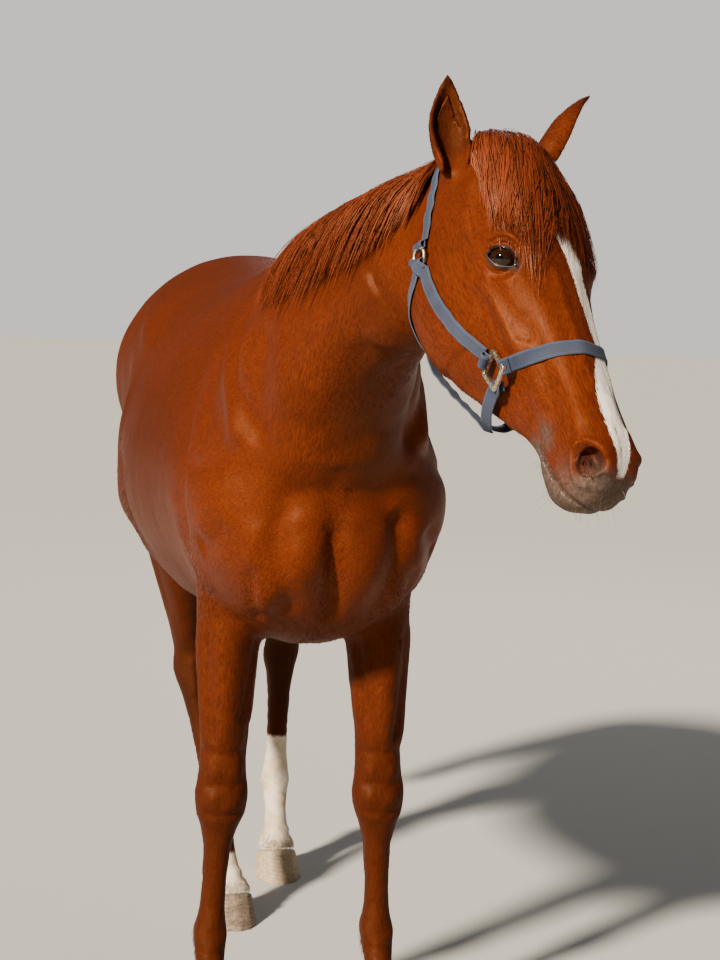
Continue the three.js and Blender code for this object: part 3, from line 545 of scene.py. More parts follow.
for side in (-1, 1):
    shift = -14 if side < 0 else -6
    swell(breast_view, breast, (side * 56 + shift, 1018), (48, 62), 22, side * 8)
    ridge(breast_view, breast, [(side * 96 + shift, 1070), (side * 60 + shift, 1098), (side * 18 + shift, 1092)], 14, 5)
    ridge(breast_view, breast, [(side * 108 + shift, 1122), (side * 60 + shift, 1146), (0, 1146)], 18, -5)
    ridge(breast_view, breast, [(side * 104, 1120), (side * 112, 1060), (side * 104, 1000), (side * 92, 950),
                                (side * 78, 905)], 19, -9)
    swell(breast_view, breast, (side * 120, 940), (26, 46), 11, side * 18)
    ridge(breast_view, breast, [(side * 160, 1000), (side * 150, 940), (side * 124, 885)], 10, -10)
    ridge(breast_view, breast, [(side * 40, 1260), (side * 84, 1216), (side * 130, 1180)], 30, 4)
    swell(breast_view, breast, (side * 138, 1172), (36, 46), 7, side * 15)
    ridge(breast_view, breast, [(side * 150, 1090), (side * 160, 1020), (side * 150, 950), (side * 128, 900)], 18, 6)

# The legs, each unrolled about its own middle: mm round from its front to the outside or inside, and height.
swell(breast_view, breast, (120, 1094), (17, 15), -9)
firm = 1.35
for name in ("foreleg_right", "foreleg_left", "hindleg_right", "hindleg_left"):
    fore = "fore" in name
    low, high = (np.array(corner)[:2] * 1000 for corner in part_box(name))
    outside = -1 if "right" in name else 1
    own = (mm[:, :2] > low - 14).all(1) & (mm[:, :2] < high + 14).all(1) & (mm[:, 2] < (880 if fore else 940))
    levels = np.arange(60, 800, 20)
    spine = []
    for level in levels:
        slab = mm[own & (np.abs(mm[:, 2] - level) < 12), :2]
        spine.append((slab.min(0) + slab.max(0)) / 2)
    spine = np.array(spine)
    side_off = outside * (mm[:, 0] - np.interp(mm[:, 2], levels, spine[:, 0]))
    fore_off = mm[:, 1] - np.interp(mm[:, 2], levels, spine[:, 1])
    front = np.stack([np.arctan2(side_off, -fore_off) * 50, mm[:, 2]], 1)
    rear = np.stack([np.arctan2(side_off, fore_off) * 50, mm[:, 2]], 1)
    if fore:  # forearm, knee
        ridge(front, own, [(2, 870), (8, 780), (6, 690), (2, 610)], 17, 5)
        ridge(front, own, [(38, 860), (40, 760), (34, 670), (26, 610)], 8, -5)
        ridge(front, own, [(66, 860), (66, 760), (60, 670), (52, 600)], 16, 4)
        ridge(front, own, [(98, 850), (98, 760), (92, 680), (88, 610)], 8, -4)
        ridge(front, own, [(-44, 840), (-38, 740), (-28, 650)], 8, -4)
        ridge(front, own, [(-76, 830), (-72, 740), (-62, 650)], 16, 4)
        ridge(front, own, [(-70, 588), (-30, 596), (0, 592), (34, 596), (70, 586)], 9, -3.5)
        for u in (-26, 24):
            swell(front, own, (u, 556), (17, 15), 3.4)
            swell(front, own, (u, 502), (18, 15), 3.0)
        ridge(front, own, [(-50, 528), (0, 530), (50, 527)], 6, -2.6)
        ridge(front, own, [(-50, 474), (0, 470), (50, 474)], 8, -3.6)
        swell(front, own, (74, 520), (30, 50), 5)
        swell(front, own, (-74, 520), (30, 50), 5)
        swell(rear, own, (8, 542), (17, 24), 12)
        swell(rear, own, (0, 492), (26, 16), -3)
        low_knee = 452
    else:  # gaskin, hock
        ridge(front, own, [(10, 900), (14, 800), (6, 700), (0, 640)], 18, 5)
        ridge(front, own, [(48, 900), (50, 800), (44, 700)], 10, -5)
        ridge(rear, own, [(46, 850), (44, 760), (40, 680), (36, 630)], 14, -11)
        ridge(rear, own, [(-46, 850), (-44, 760), (-40, 680), (-36, 630)], 14, -11)
        ridge(rear, own, [(0, 800), (0, 700), (0, 620)], 10, 5)
        swell(front, own, (62, 560), (22, 30), 4)
        swell(front, own, (-62, 540), (22, 34), 4)
        swell(front, own, (10, 606), (26, 20), -4)
        ridge(front, own, [(0, 600), (4, 550), (6, 500)], 10, 3)
        swell(rear, own, (52, 606), (16, 18), -5)
        swell(rear, own, (-52, 606), (16, 18), -5)
        low_knee = 500
    # cannon and its tendons, fetlock with its ergot, and the hollow of the pastern
    ridge(rear, own, [(0, low_knee), (0, 380), (0, 300), (0, 250)], 16, 5)
    for side in (-1, 1):
        ridge(rear, own, [(side * 46, low_knee), (side * 50, 380), (side * 50, 320), (side * 46, 262)], 8, -4.6)
        ridge(rear, own, [(side * 66, low_knee), (side * 68, 380), (side * 68, 330)], 6, 1.4)
        swell(rear, own, (side * 34, 226), (20, 18), 4)
        swell(front, own, (side * 46, 222), (18, 18), 3)
        ridge(rear, own, [(side * 40, 190), (side * 56, 160), (side * 60, 130)], 9, -3)
    swell(front, own, (0, 250), (26, 18), 2.5)
    ridge(front, own, [(-50, 196), (0, 190), (50, 196)], 9, -3)
    swell(rear, own, (0, 214), (16, 14), 7)
    swell(rear, own, (0, 160), (30, 20), -6)
    ridge(front, own, [(-80, 104), (0, 112), (80, 104)], 8, 3)
    # a vein down the inside of the forearm and across the cannon
    ridge(front, own, [(-58, 820), (-50, 720), (-58, 640), (-70, 580)], 4, 1.8)
    ridge(front, own, [(60, 440), (72, 380), (60, 310)], 3.5, 1.2)

skin += normal * rise[:, None]

# The eyelids close over the ball like a hood: everything near the eye is drawn onto a slightly larger ball,
# the slit between the lids sinks behind it, and two creases run above the upper lid and two below the lower.
BALL = 23.5
LID = 2.6
UPPER_LID = [(-26, -2), (-21, 8), (-12, 14.5), (0, 17.5), (12, 15), (20, 8.5), (25, 1.5), (32, -5)]
LOWER_LID = [(-26, -2), (-19, -8.5), (-8, -12.5), (4, -13.5), (15, -11.5), (23, -7.5), (32, -5)]


def eye_frame(side):
    """The eye's centre, the way along the slit to its front corner, the way up, and outwards, in mm in the head."""
    centre = in_head([middle("eye_left" if side > 0 else "eye_right")])[0] + (-side * 1.0, -3, -2)
    outward = np.array([side * 0.90, 0.34, 0.27])
    outward /= np.linalg.norm(outward)
    forward = np.array([0, 0.75, 0.66])
    forward -= outward * (forward @ outward)
    forward /= np.linalg.norm(forward)
    upward = np.cross(outward, forward) * side
    return centre, forward, upward if upward[2] > 0 else -upward, outward


def lid_height(off):
    """How far the outside of the lids stands out from the eye's centre, at a distance off its axis."""
    sphere = np.sqrt(np.maximum((BALL + LID) ** 2 - np.minimum(off, 20) ** 2, 0))
    return sphere - 0.72 * np.maximum(off - 20, 0)


upper_line, lower_line = curve(UPPER_LID), curve(LOWER_LID)
places = in_head(skin)
for side in (-1, 1):
    centre, forward, upward, outward = eye_frame(side)
    near = np.flatnonzero(((places - centre) ** 2).sum(1) < 62 ** 2)
    near = near[(places[near] - centre) @ outward > -4]
    q = places[near] - centre
    s, t, h = q @ forward, q @ upward, q @ outward
    off = np.hypot(s, t)
    hold = 1 - ramp(off, 21, 40)
    above, below = np.interp(s, *upper_line.T), np.interp(s, *lower_line.T)
    crease = ramp(s, -30, -14) * (1 - ramp(s, 16, 32))
    lift = (-1.5 * crease * np.exp(-((t - above - 6.5) / 1.9) ** 2)
            + 1.4 * crease * np.exp(-((t - above - 10.5) / 3) ** 2))
    lift -= 1.1 * crease * np.exp(-((t - above - 15) / 2.0) ** 2)
    lift -= 0.9 * crease * np.exp(-((below - t - 6) / 1.7) ** 2) + 0.8 * crease * np.exp(-((below - t - 12) / 2.0) ** 2)
    target = h + hold * (lid_height(off) - h) + lift
    opening = ramp(np.minimum(above - t, t - below), -0.3, 1.6) * (s > -27) * (s < 33)
    behind = np.where(off < BALL, np.sqrt(np.maximum(BALL ** 2 - off ** 2, 0)) - 6, lid_height(off) - 4)
    target += opening * (np.minimum(behind, target) - target)
    places[near] += outward * (target - h)[:, None]
skin = from_head(places)


# The coat's colours, shared by the skin and every tuft on it: red chestnut, a white blaze that runs a little to
# the left of the midline, white on the hind feet, and slate skin on the muzzle and round the eyes. The ears,
# the barrel, the lower neck and the legs are darkened with painted shade.
BLAZE_RIGHT = [(140, -4), (152, -21), (175, -27), (201, -17), (244, -4), (290, 2), (337, 8), (367, 12), (389, 5),
               (435, -16), (472, -22), (503, -24), (536, -27), (566, -24), (590, -16), (612, -6)]
BLAZE_LEFT = [(140, 2), (160, 18), (188, 24), (229, 25), (290, 29), (337, 33), (367, 35), (389, 35),
              (435, 25), (472, 20), (503, 18), (527, 17), (557, 13), (590, 6), (612, 0)]


def marks(points):
    """What the coat shows at points: white (in cm inside the edge), slate muzzle, bare skin, dark (darker ear tips, a
    band over the hooves, and painted shade in the ears, on the barrel, under the neck and down the legs), and its lie.
    """
    points = np.asarray(points, float)
    place = in_head(points)
    u, a, v = place.T
    near_head = ramp(v, -400, -335) * ramp(np.abs(u), 190, 150)
    in_face = (a > 120) & (v > np.interp(a, [500, 550, 580, 612], [-80, -42, -50, -72])) & (np.abs(u) < 70)
    white = np.minimum(u - np.interp(a, *np.array(BLAZE_RIGHT).T), np.interp(a, *np.array(BLAZE_LEFT).T) - u)
    white = np.minimum(white, np.minimum(a - 146, 602 - a)) / 10
    snip = (9 - np.hypot((u + 8) / 1.1, (a - 590) / 0.8)) / 10
    white = np.where(in_face, np.maximum(white, snip), -4)
    for name, height, rise_at_front in (("hindhoof_left", 0.335, 0.085), ("hindhoof_right", 0.150, 0.02)):
        sole = middle(name)
        close = (np.hypot(points[:, 0] - sole[0], points[:, 1] - sole[1]) < 0.20) & (points[:, 2] < 0.6)
        front = np.clip((sole[1] + 0.045 - points[:, 1]) / 0.04, -1, 1)
        top = height + rise_at_front * np.maximum(front, -0.3) ** 3
        white = np.where(close, np.maximum(white, (top - points[:, 2]) * 100 / 2), white)
    lip = np.interp(a, [480, 536, 594, 630], [-142, -133, -117, -100])
    head = ramp(a, 380, 420)
    slate = np.maximum.reduce([
        ramp(a, 560, 606) * ramp(v, -24, -54),
        ramp(a, 455, 490) * ramp(v - lip, 12, -4),
        0.85 * np.exp(-((a - 490) / 26) ** 2 - ((v + 117) / 17) ** 2),
        0.75 * np.exp(-((a - 590) / 42) ** 2 - ((v + 104) / 24) ** 2)]) * head * near_head
    bare = np.zeros(len(points))
    for side in (-1, 1):
        centre, forward, upward, outward = eye_frame(side)
        q = place - centre
        s, t = q @ forward, q @ upward
        rim = np.maximum(np.interp(s, *lower_line.T) - t, t - np.interp(s, *upper_line.T))
        rim = np.maximum(rim, np.maximum(-26 - s, s - 32))
        around = (1 - ramp(rim, 0.8, 6.5 + 4.5 * ramp(s, 8, 24))) * (q @ outward > 0) * (side * u > 40)
        corner = np.exp(-((s - 28) / 9) ** 2 - ((t + 1) / 10) ** 2) * (q @ outward > 0) * (side * u > 40)
        bare = np.maximum(bare, np.maximum(around, corner))
        inside = np.exp(-(((a - 572) / 21) ** 2 + ((v + 57) / 18) ** 2) ** 1.5) * (side * u > 20) * (side * u < 56)
        bare = np.maximum(bare, 0.8 * inside)
    between = np.abs(v - np.interp(a, [492, 512, 536, 566, 594, 612, 622], [-141, -139, -133, -124, -117, -110, -106]))
    on_lips = near_head * (a > 488) * (a < 626)
    bare = np.maximum(bare, on_lips * np.exp(-(between / 2.4) ** 2))
    white = np.where(on_lips > 0.5, np.maximum(white, -0.16 - np.abs(between - 5) / 10), white)
    ear = (1 - ramp(a, -20, 40)) * (v > -150) * (np.abs(u) < 190)
    tip = ramp(points[:, 2], 1.80, 1.885) * ear
    # painted shade: the ears and the poll between them darker, the right ear (u < 0) twice as much as the left
    tip = np.maximum(tip, ramp(a, -24, -60) * (v > -150) * (v < 30) * (np.abs(u) < 150) * np.where(u < 0, 0.8, 0.4))
    # painted shade: the barrel behind the shoulder darker, most on its lower half, and the lower neck darker, fading
    # out towards its right side
    off_white = ramp(points[:, 2], 0.3, 0.5)
    barrel_painted_shade = ramp(points[:, 1], -0.30, 0.10) * off_white * (0.5 + 0.5 * ramp(points[:, 2], 1.38, 1.20))
    lower_neck_painted_shade = ramp(points[:, 1], -0.86, -0.78) * ramp(points[:, 1], -0.46, -0.54) * ramp(v, -290, -345)
    lower_neck_painted_shade = np.maximum(lower_neck_painted_shade * ramp(points[:, 0], -0.09, 0.02), 0)
    # from here tip also carries the painted shade of the barrel and the lower neck
    tip = np.maximum(tip, np.maximum(0.62 * barrel_painted_shade, 0.55 * lower_neck_painted_shade))
    # painted shade: the legs darker towards the ground, from 0.74 m down, added to the ear, barrel and neck shade held
    # in tip; a band just above the hooves is darker too
    dark = 0.75 * tip + 0.5 * ramp(points[:, 2], 0.74, 0.46) * (points[:, 2] > 0)
    hoof_top = ramp(points[:, 2], 0.115, 0.075)
    dark = np.maximum(dark, 0.6 * hoof_top)
    leg = ramp(points[:, 2], 1.00, 0.84)
    face_share = ramp(a, -10, 60) * near_head
    neck = ramp(points[:, 1], -0.44, -0.56) * (1 - face_share) * ramp(points[:, 2], 1.05, 1.2)
    return {"white": white, "slate": slate, "bare": np.clip(bare, 0, 1), "dark": dark,
            "on_head": face_share, "on_leg": leg, "on_neck": neck}


def marked(mesh):
    """Stores the marks of a mesh's points on the mesh, for its material."""
    points = np.zeros(len(mesh.vertices) * 3, np.float32)
    mesh.vertices.foreach_get("co", points)
    for name, values in marks(points.reshape(-1, 3)).items():
        layer = mesh.attributes.new(name, "FLOAT", "POINT")
        layer.data.foreach_set("value", np.asarray(values, np.float32))


def attribute(tree, name):
    node = tree.nodes.new("ShaderNodeAttribute")
    node.attribute_name = name
    return node.outputs["Fac"]


def blend(tree, share, first, second):
    """A node that mixes two colours or sockets by a share."""
    node = tree.nodes.new("ShaderNodeMix")
    node.data_type = "RGBA"
    for socket, value in (("Factor", share), ("A", first), ("B", second)):
        if isinstance(value, bpy.types.NodeSocket):
            tree.links.new(value, node.inputs[socket])
        else:
            node.inputs[socket].default_value = value
    return node.outputs["Result"]


def sum_of(tree, how, first, second, third=None, clamp=False):
    node = tree.nodes.new("ShaderNodeMath")
    node.operation, node.use_clamp = how, clamp
    for i, value in enumerate((first, second, third)):
        if isinstance(value, bpy.types.NodeSocket):
            tree.links.new(value, node.inputs[i])
        elif value is not None:
            node.inputs[i].default_value = value
    return node.outputs[0]


def spread(tree, value, start, end, low=0.0, high=1.0):
    """A value stretched from start..end to low..high and held there."""
    node = tree.nodes.new("ShaderNodeMapRange")
    node.interpolation_type = "SMOOTHSTEP"
    tree.links.new(value, node.inputs["Value"])
    for socket, number in (("From Min", start), ("From Max", end), ("To Min", low), ("To Max", high)):
        node.inputs[socket].default_value = number
    return node.outputs["Result"]


def combed(tree, way, fine, length, detail=3.0):
    """Noise drawn out into hairs along a direction: fine streaks per metre across, length per metre along."""
    way = Vector(way).normalized()
    aside = way.orthogonal().normalized()
    where = tree.nodes.new("ShaderNodeTexCoord").outputs["Object"]
    joined = tree.nodes.new("ShaderNodeCombineXYZ")
    for i, (axis, rate) in enumerate(((way, length), (aside, fine), (way.cross(aside), fine))):
        node = tree.nodes.new("ShaderNodeVectorMath")
        node.operation = "DOT_PRODUCT"
        tree.links.new(where, node.inputs[0])
        node.inputs[1].default_value = axis * rate
        tree.links.new(node.outputs["Value"], joined.inputs[i])
    noise = tree.nodes.new("ShaderNodeTexNoise")
    noise.inputs["Scale"].default_value, noise.inputs["Detail"].default_value = 1.0, detail
    tree.links.new(joined.outputs[0], noise.inputs["Vector"])
    return noise.outputs["Fac"]


def cloudy(tree, scale, detail=2.0):
    noise = tree.nodes.new("ShaderNodeTexNoise")
    noise.inputs["Scale"].default_value, noise.inputs["Detail"].default_value = scale, detail
    tree.links.new(tree.nodes.new("ShaderNodeTexCoord").outputs["Object"], noise.inputs["Vector"])
    return noise.outputs["Fac"]


def coat_material(name, gloss, bump_depth):
    """Short glossy horse hair: streaks that follow its lie, soft mottling, and the markings."""
    finish, tree, shader = material(name, Roughness=0.50, Specular_IOR_Level=0.20, Coat_Weight=gloss,
                                    Coat_Roughness=0.30, Sheen_Weight=0.015, Sheen_Roughness=0.45)
    shader.inputs["Sheen Tint"].default_value = srgb(255, 140, 60)
    shader.inputs["Specular Tint"].default_value = srgb(255, 172, 104)
    shader.inputs["Coat Tint"].default_value = srgb(255, 214, 170)
    lies = {"on_trunk": (0, 0.86, -0.5), "on_neck": (-0.1, 0.45, -0.88), "on_leg": (0, 0.12, -1),
            "on_head": nose_wards}
    hairs = tufts_of = None
    for part, way in lies.items():
        fine, broad = combed(tree, way, 950, 70), combed(tree, way, 210, 26, 2.0)
        if hairs is None:
            hairs, tufts_of = fine, broad
        else:
            hairs = blend(tree, attribute(tree, part), hairs, fine)
            tufts_of = blend(tree, attribute(tree, part), tufts_of, broad)
    mottle = cloudy(tree, 5.5, 3.0)
    red = blend(tree, spread(tree, hairs, 0.34, 0.68), srgb(56, 18, 6), srgb(96, 36, 11))
    red = blend(tree, spread(tree, tufts_of, 0.3, 0.8, 0.0, 0.20), red, srgb(132, 58, 17))
    red = blend(tree, spread(tree, mottle, 0.35, 0.75, 0.0, 0.34), red, srgb(62, 18, 4))
    # the dark mark: painted shade in the ears, on the barrel, under the neck and down the legs, with darker ear tips
    # and a band above the hooves
    red = blend(tree, attribute(tree, "dark"), red, srgb(40, 16, 8))
    # painted shade: every leg a further 38% of the way to dark brown
    red = blend(tree, sum_of(tree, "MULTIPLY", attribute(tree, "on_leg"), 0.38), red, srgb(46, 15, 6))
    ragged = sum_of(tree, "ADD", attribute(tree, "white"),
                    sum_of(tree, "MULTIPLY", sum_of(tree, "SUBTRACT", hairs, 0.5), 1.6))
    white = blend(tree, spread(tree, hairs, 0.3, 0.7), srgb(206, 192, 178), srgb(250, 244, 234))
    soil = sum_of(tree, "MULTIPLY", attribute(tree, "on_leg"),
                  spread(tree, cloudy(tree, 22, 4.0), 0.35, 0.7, 0.30, 0.95))
    white = blend(tree, soil, white, srgb(184, 162, 124))
    slate = blend(tree, spread(tree, cloudy(tree, 160, 5.0), 0.3, 0.75), srgb(62, 53, 48), srgb(86, 74, 66))
    slate_share = sum_of(tree, "MULTIPLY", attribute(tree, "slate"),
                         spread(tree, hairs, 0.2, 0.8, 0.75, 1.15), clamp=True)
    colour = blend(tree, slate_share, red, slate)
    pink = blend(tree, spread(tree, attribute(tree, "slate"), 0.3, 0.8, 0.0, 0.7), white, srgb(176, 138, 126))
    colour = blend(tree, spread(tree, ragged, -0.12, 0.12), colour, pink)
    bare = blend(tree, spread(tree, cloudy(tree, 420, 3.0), 0.3, 0.7), srgb(24, 18, 17), srgb(54, 44, 42))
    colour = blend(tree, attribute(tree, "bare"), colour, bare)
    tree.links.new(colour, shader.inputs["Base Color"])
    dull = sum_of(tree, "MULTIPLY_ADD", attribute(tree, "on_leg"), 0.13, spread(tree, mottle, 0.3, 0.7, 0.47, 0.55))
    dull = sum_of(tree, "MULTIPLY_ADD", attribute(tree, "slate"), 0.12, dull)
    tree.links.new(dull, shader.inputs["Roughness"])
    relief = tree.nodes.new("ShaderNodeBump")
    relief.inputs["Strength"].default_value, relief.inputs["Distance"].default_value = 0.55, bump_depth
    height = sum_of(tree, "ADD", sum_of(tree, "MULTIPLY", hairs, 0.6), tufts_of)
    height = sum_of(tree, "MULTIPLY", height, spread(tree, attribute(tree, "bare"), 0, 1, 1.0, 0.25))
    height = sum_of(tree, "ADD", height, sum_of(tree, "MULTIPLY", cloudy(tree, 34, 3.0),
                                                spread(tree, attribute(tree, "on_leg"), 0, 1, 2.2, 6.0)))
    tree.links.new(height, relief.inputs["Height"])
    tree.links.new(relief.outputs["Normal"], shader.inputs["Normal"])
    return finish


coat = coat_material("chestnut_coat", 0.01, 0.0010)

# Faces are spent where the form is fine: most on the head, fewest on the flat of the flanks.
hide = object_from("hide", skin, skin_faces)
keep = hide.vertex_groups.new(name="keep")
spots = in_head(skin)
near_detail = np.zeros(len(skin), bool)
for side in (-1, 1):
    for spot, reach in (((side * 95, 208, -58), 44), ((side * 48, 574, -55), 42)):
        near_detail |= ((spots - spot) ** 2).sum(1) < reach ** 2
of_head = (spots[:, 1] > -150) & (spots[:, 2] > -345) & (np.abs(spots[:, 0]) < 200)
of_leg = (skin[:, 2] < 0.66) & ~of_head
for share, group in ((1.0, near_detail), (0.78, ~near_detail & of_head), (0.62, of_leg), (0.36, ~of_head & ~of_leg)):
    keep.add(np.flatnonzero(group).tolist(), share, "REPLACE")
thin = hide.modifiers.new("thin", "DECIMATE")
thin.ratio = 188000 / len(skin_faces)
thin.vertex_group, thin.vertex_group_factor, thin.invert_vertex_group = "keep", 1.0, True
made = bpy.data.meshes.new_from_object(hide.evaluated_get(bpy.context.evaluated_depsgraph_get()))
bpy.data.objects.remove(hide)
made.materials.clear()
made.materials.append(coat)
hide = bpy.data.objects.new("hide", made)
bpy.context.scene.collection.objects.link(hide)
made.polygons.foreach_set("use_smooth", np.ones(len(made.polygons), bool))
marked(made)
skin_points, skin_triangles = arrays(made)
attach(hide, "root")
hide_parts(*FLESH)


# The eyes are glass, near black, with a brown iris, a level pupil and a clear raised cornea. The rims of the
# lids are a dark wet bead round each, with a paler wet line along the lower one whose pale colour is partly a painted
# highlight, and lashes.
def plain(finish_name, **sockets):
    return material(finish_name, **sockets)[0]


def tube(path, radius, sides=8, closed=True, squash=None):
    """Points and faces of a round bead along a path."""
    path = np.asarray(path, float)
    count = len(path)
    ahead = np.roll(path, -1, 0) - np.roll(path, 1, 0)
    if not closed:
        ahead[0], ahead[-1] = path[1] - path[0], path[-1] - path[-2]
    ahead /= np.linalg.norm(ahead, axis=1)[:, None]
    first = np.cross(ahead, squash if squash is not None else (0, 0, 1))
    first /= np.linalg.norm(first, axis=1)[:, None]
    second = np.cross(ahead, first)
    radius = np.broadcast_to(radius, (count,))[:, None, None]
    turn = np.arange(sides) / sides * 2 * math.pi
    points = path[:, None] + radius * (first[:, None] * np.cos(turn)[None, :, None]
                                       + second[:, None] * np.sin(turn)[None, :, None])
    faces = []
    for i in range(count if closed else count - 1):
        for j in range(sides):
            k, n = (j + 1) % sides, (i + 1) % count
            faces.append((i * sides + j, i * sides + k, n * sides + k, n * sides + j))
    if not closed:
        faces += [tuple(range(sides))[::-1], tuple((count - 1) * sides + j for j in range(sides))]
    return points.reshape(-1, 3), faces


glass, tree, shader = material("eye_glass", Roughness=0.05, Specular_IOR_Level=0.30, Coat_Weight=0.12,
                               Coat_Roughness=0.02)
fibres = cloudy(tree, 900, 3.0)
brown = blend(tree, spread(tree, fibres, 0.3, 0.7), srgb(20, 10, 6), srgb(40, 20, 10))
brown = blend(tree, spread(tree, attribute(tree, "pupil"), 0.95, 1.15), srgb(6, 5, 7), brown)
brown = blend(tree, spread(tree, attribute(tree, "rim"), 0.78, 0.9), brown, srgb(18, 10, 8))
brown = blend(tree, spread(tree, attribute(tree, "rim"), 1.0, 1.06), brown, srgb(70, 54, 48))
tree.links.new(brown, shader.inputs["Base Color"])
wet = plain("lid_rim", Base_Color=srgb(22, 15, 14), Roughness=0.34, Coat_Weight=0.3, Coat_Roughness=0.12)
# partly painted highlight: the pale colour of the wet line along the lower lid stands for its gleam
tear_glint = plain("tear_line", Base_Color=srgb(96, 84, 80), Roughness=0.12, Coat_Weight=0.3, Coat_Roughness=0.03)
lash_hair = plain("lash_hair", Base_Color=srgb(44, 24, 16), Roughness=0.5)

for side, word in ((-1, "right"), (1, "left")):
    centre, forward, upward, outward = eye_frame(side)
    frame_of_eye = np.stack([forward, upward, outward])
    rings, spokes = 34, 56
    angle = np.linspace(0, 1, rings + 1)[1:] * math.radians(105)
    spin = np.arange(spokes) / spokes * 2 * math.pi
    s = np.outer(np.sin(angle), np.cos(spin))
    t = np.outer(np.sin(angle), np.sin(spin))
    bulge = 1 + 0.055 * np.clip(1 - (angle / math.radians(40)) ** 2, 0, 1) ** 1.5
    h = np.repeat(np.cos(angle)[:, None], spokes, 1)
    local = np.stack([s, t, h], 2) * (BALL - 0.4) * bulge[:, None, None]
    local = np.concatenate([[[0, 0, (BALL - 0.4) * 1.055]], local.reshape(-1, 3)])
    faces = [(0, 1 + (j + 1) % spokes, 1 + j)[::-1] for j in range(spokes)]
    for i in range(rings - 1):
        a, b = 1 + i * spokes, 1 + (i + 1) * spokes
        faces += [(a + j, b + j, b + (j + 1) % spokes, a + (j + 1) % spokes) for j in range(spokes)]
    faces.append(tuple(range(1 + (rings - 1) * spokes, 1 + rings * spokes))[::-1])
    faces = [f[::side] for f in faces]
    eye = object_from("eyeball_" + word, from_head(centre + local @ frame_of_eye), faces, glass)
    flat = local / (BALL - 0.4)
    for name, values in (("pupil", np.hypot(flat[:, 0] / 0.30, flat[:, 1] / 0.16)),
                         ("rim", np.hypot(flat[:, 0] / 0.86, flat[:, 1] / 0.80) + (flat[:, 2] < 0))):
        eye.data.attributes.new(name, "FLOAT", "POINT").data.foreach_set("value", values.astype(np.float32))
    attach(eye, "root")
    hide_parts("eye_" + word)

    def at_lid(line, inwards, lower=0.0):
        st = line + np.array([0, inwards])
        off = np.hypot(*st.T)
        ball = np.sqrt(np.maximum((BALL + 0.6) ** 2 - off ** 2, 0))
        height = np.maximum(0.5 * (ball + lid_height(off)), lid_height(off) - 2.2) - lower
        return from_head(centre + st[:, :1] * forward + st[:, 1:] * upward + height[:, None] * outward)

    upper, lower = curve(UPPER_LID, 7), curve(LOWER_LID, 7)
    bead = np.concatenate([at_lid(upper, 0.0), at_lid(lower, 0.0)[-2:0:-1]])
    points, faces = tube(bead, 0.0013, 8, squash=from_head([outward * 1000])[0] - poll)
    rim = object_from("lid_rim_" + word, points, faces, wet)
    points, faces = tube(at_lid(lower[6:-3], 1.6, 1.0), 0.0008, 6, closed=False,
                         squash=from_head([outward * 1000])[0] - poll)
    line = object_from("tear_line_" + word, points, faces, tear_glint)
    # the small dark lump in the front corner
    turn, lift = np.meshgrid(np.linspace(0, 2 * math.pi, 16, endpoint=False), np.linspace(-1.2, 1.2, 9))
    blob = np.stack([np.cos(turn) * np.cos(lift) * 5, np.sin(turn) * np.cos(lift) * 3, np.sin(lift) * 4], 2)
    blob = blob.reshape(-1, 3)
    faces = [(i * 16 + j, i * 16 + (j + 1) % 16, (i + 1) * 16 + (j + 1) % 16, (i + 1) * 16 + j)
             for i in range(8) for j in range(16)] + [tuple(range(16))[::-1], tuple(range(128, 144))]
    faces = [f[::side] for f in faces]
    blob = blob + (24.5, -3.2, float(lid_height(np.array(25.0))) - 5.0)
    lump = object_from("corner_" + word, from_head(centre + blob @ frame_of_eye), faces, wet)
    for piece in (rim, line, lump):
        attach(piece, "root")


# Mane, forelock and tail: coarse dark red hair, every lock a thin tapered blade of several hundred hairs. The
# mane is pulled short and falls to the right, the forelock fans over the brow, the tail hangs to the hocks.
corners = skin_points[skin_triangles]
centres = corners.mean(1)
on_ears = np.zeros(len(centres), bool)
for word in ("right", "left"):
    low, high = (np.array(corner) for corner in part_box("ear_" + word))
    on_ears |= ((centres > low - 0.004) & (centres < high + 0.004)).all(1) & (centres[:, 2] > low[2] + 0.016)
surface = BVHTree.FromPolygons(skin_points.tolist(), skin_triangles[~on_ears].tolist())
REGIONS = {  # each part's own tile on the unwrap, and the line it is unrolled about
    "trunk": ((0.02, 0.02, 0.60, 0.48), (0, -0.6, 1.12), (0, 1, 0), 2.0),
    "neck": ((0.02, 0.52, 0.40, 0.80), (0.02, -0.42, 1.2), (0.17, -0.55, 0.52), 1.0),
    "head": ((0.64, 0.02, 0.98, 0.40), None, None, 0.75),
    "legs": ((0.44, 0.52, 0.98, 0.80), None, None, 1.0),
    "tail": ((0.02, 0.84, 0.30, 0.98), None, None, 1.2)}


def unwrapped(points, part):
    """Where points lie on the hide's own unwrap: each part unrolled about its axis, in its own tile."""
    points = np.asarray(points, float)
    x0, y0, x1, y1 = REGIONS[part][0]
    if part == "head":
        u, a, v = in_head(points).T
        turn, along = np.arctan2(u, v + 120), (a + 180) / 820
    elif part == "legs":
        turn, along = np.zeros(len(points)), np.zeros(len(points))
        for i, name in enumerate(("forehoof_right", "forehoof_left", "hindhoof_right", "hindhoof_left")):
            sole = middle(name)
            own = np.hypot(points[:, 0] - sole[0], points[:, 1] - sole[1]) < 0.30
            around = np.arctan2(points[own, 0] - sole[0], points[own, 1] - sole[1]) / (2 * math.pi) + 0.5
            turn[own] = (i + 0.05 + 0.9 * around) / 4 * 2 * math.pi - math.pi
            along[own] = points[own, 2] / 1.1
    elif part == "tail":
        centre = middle("tail")
        turn, along = np.arctan2(points[:, 0] - centre[0], points[:, 1] - centre[1]), (points[:, 2] - 0.2) / 1.2
    else:
        _, origin, way, length = REGIONS[part]
        way = np.array(way) / np.linalg.norm(way)
        q = points - origin
        along = q @ way
        q = q - along[:, None] * way
        turn, along = np.arctan2(q[:, 0], q @ np.cross(way, (1, 0, 0))), along / length
    turn = turn / (2 * math.pi) + 0.5
    return np.stack([x0 + (x1 - x0) * np.clip(turn, 0, 1), y0 + (y1 - y0) * np.clip(along, 0, 1)], 1)


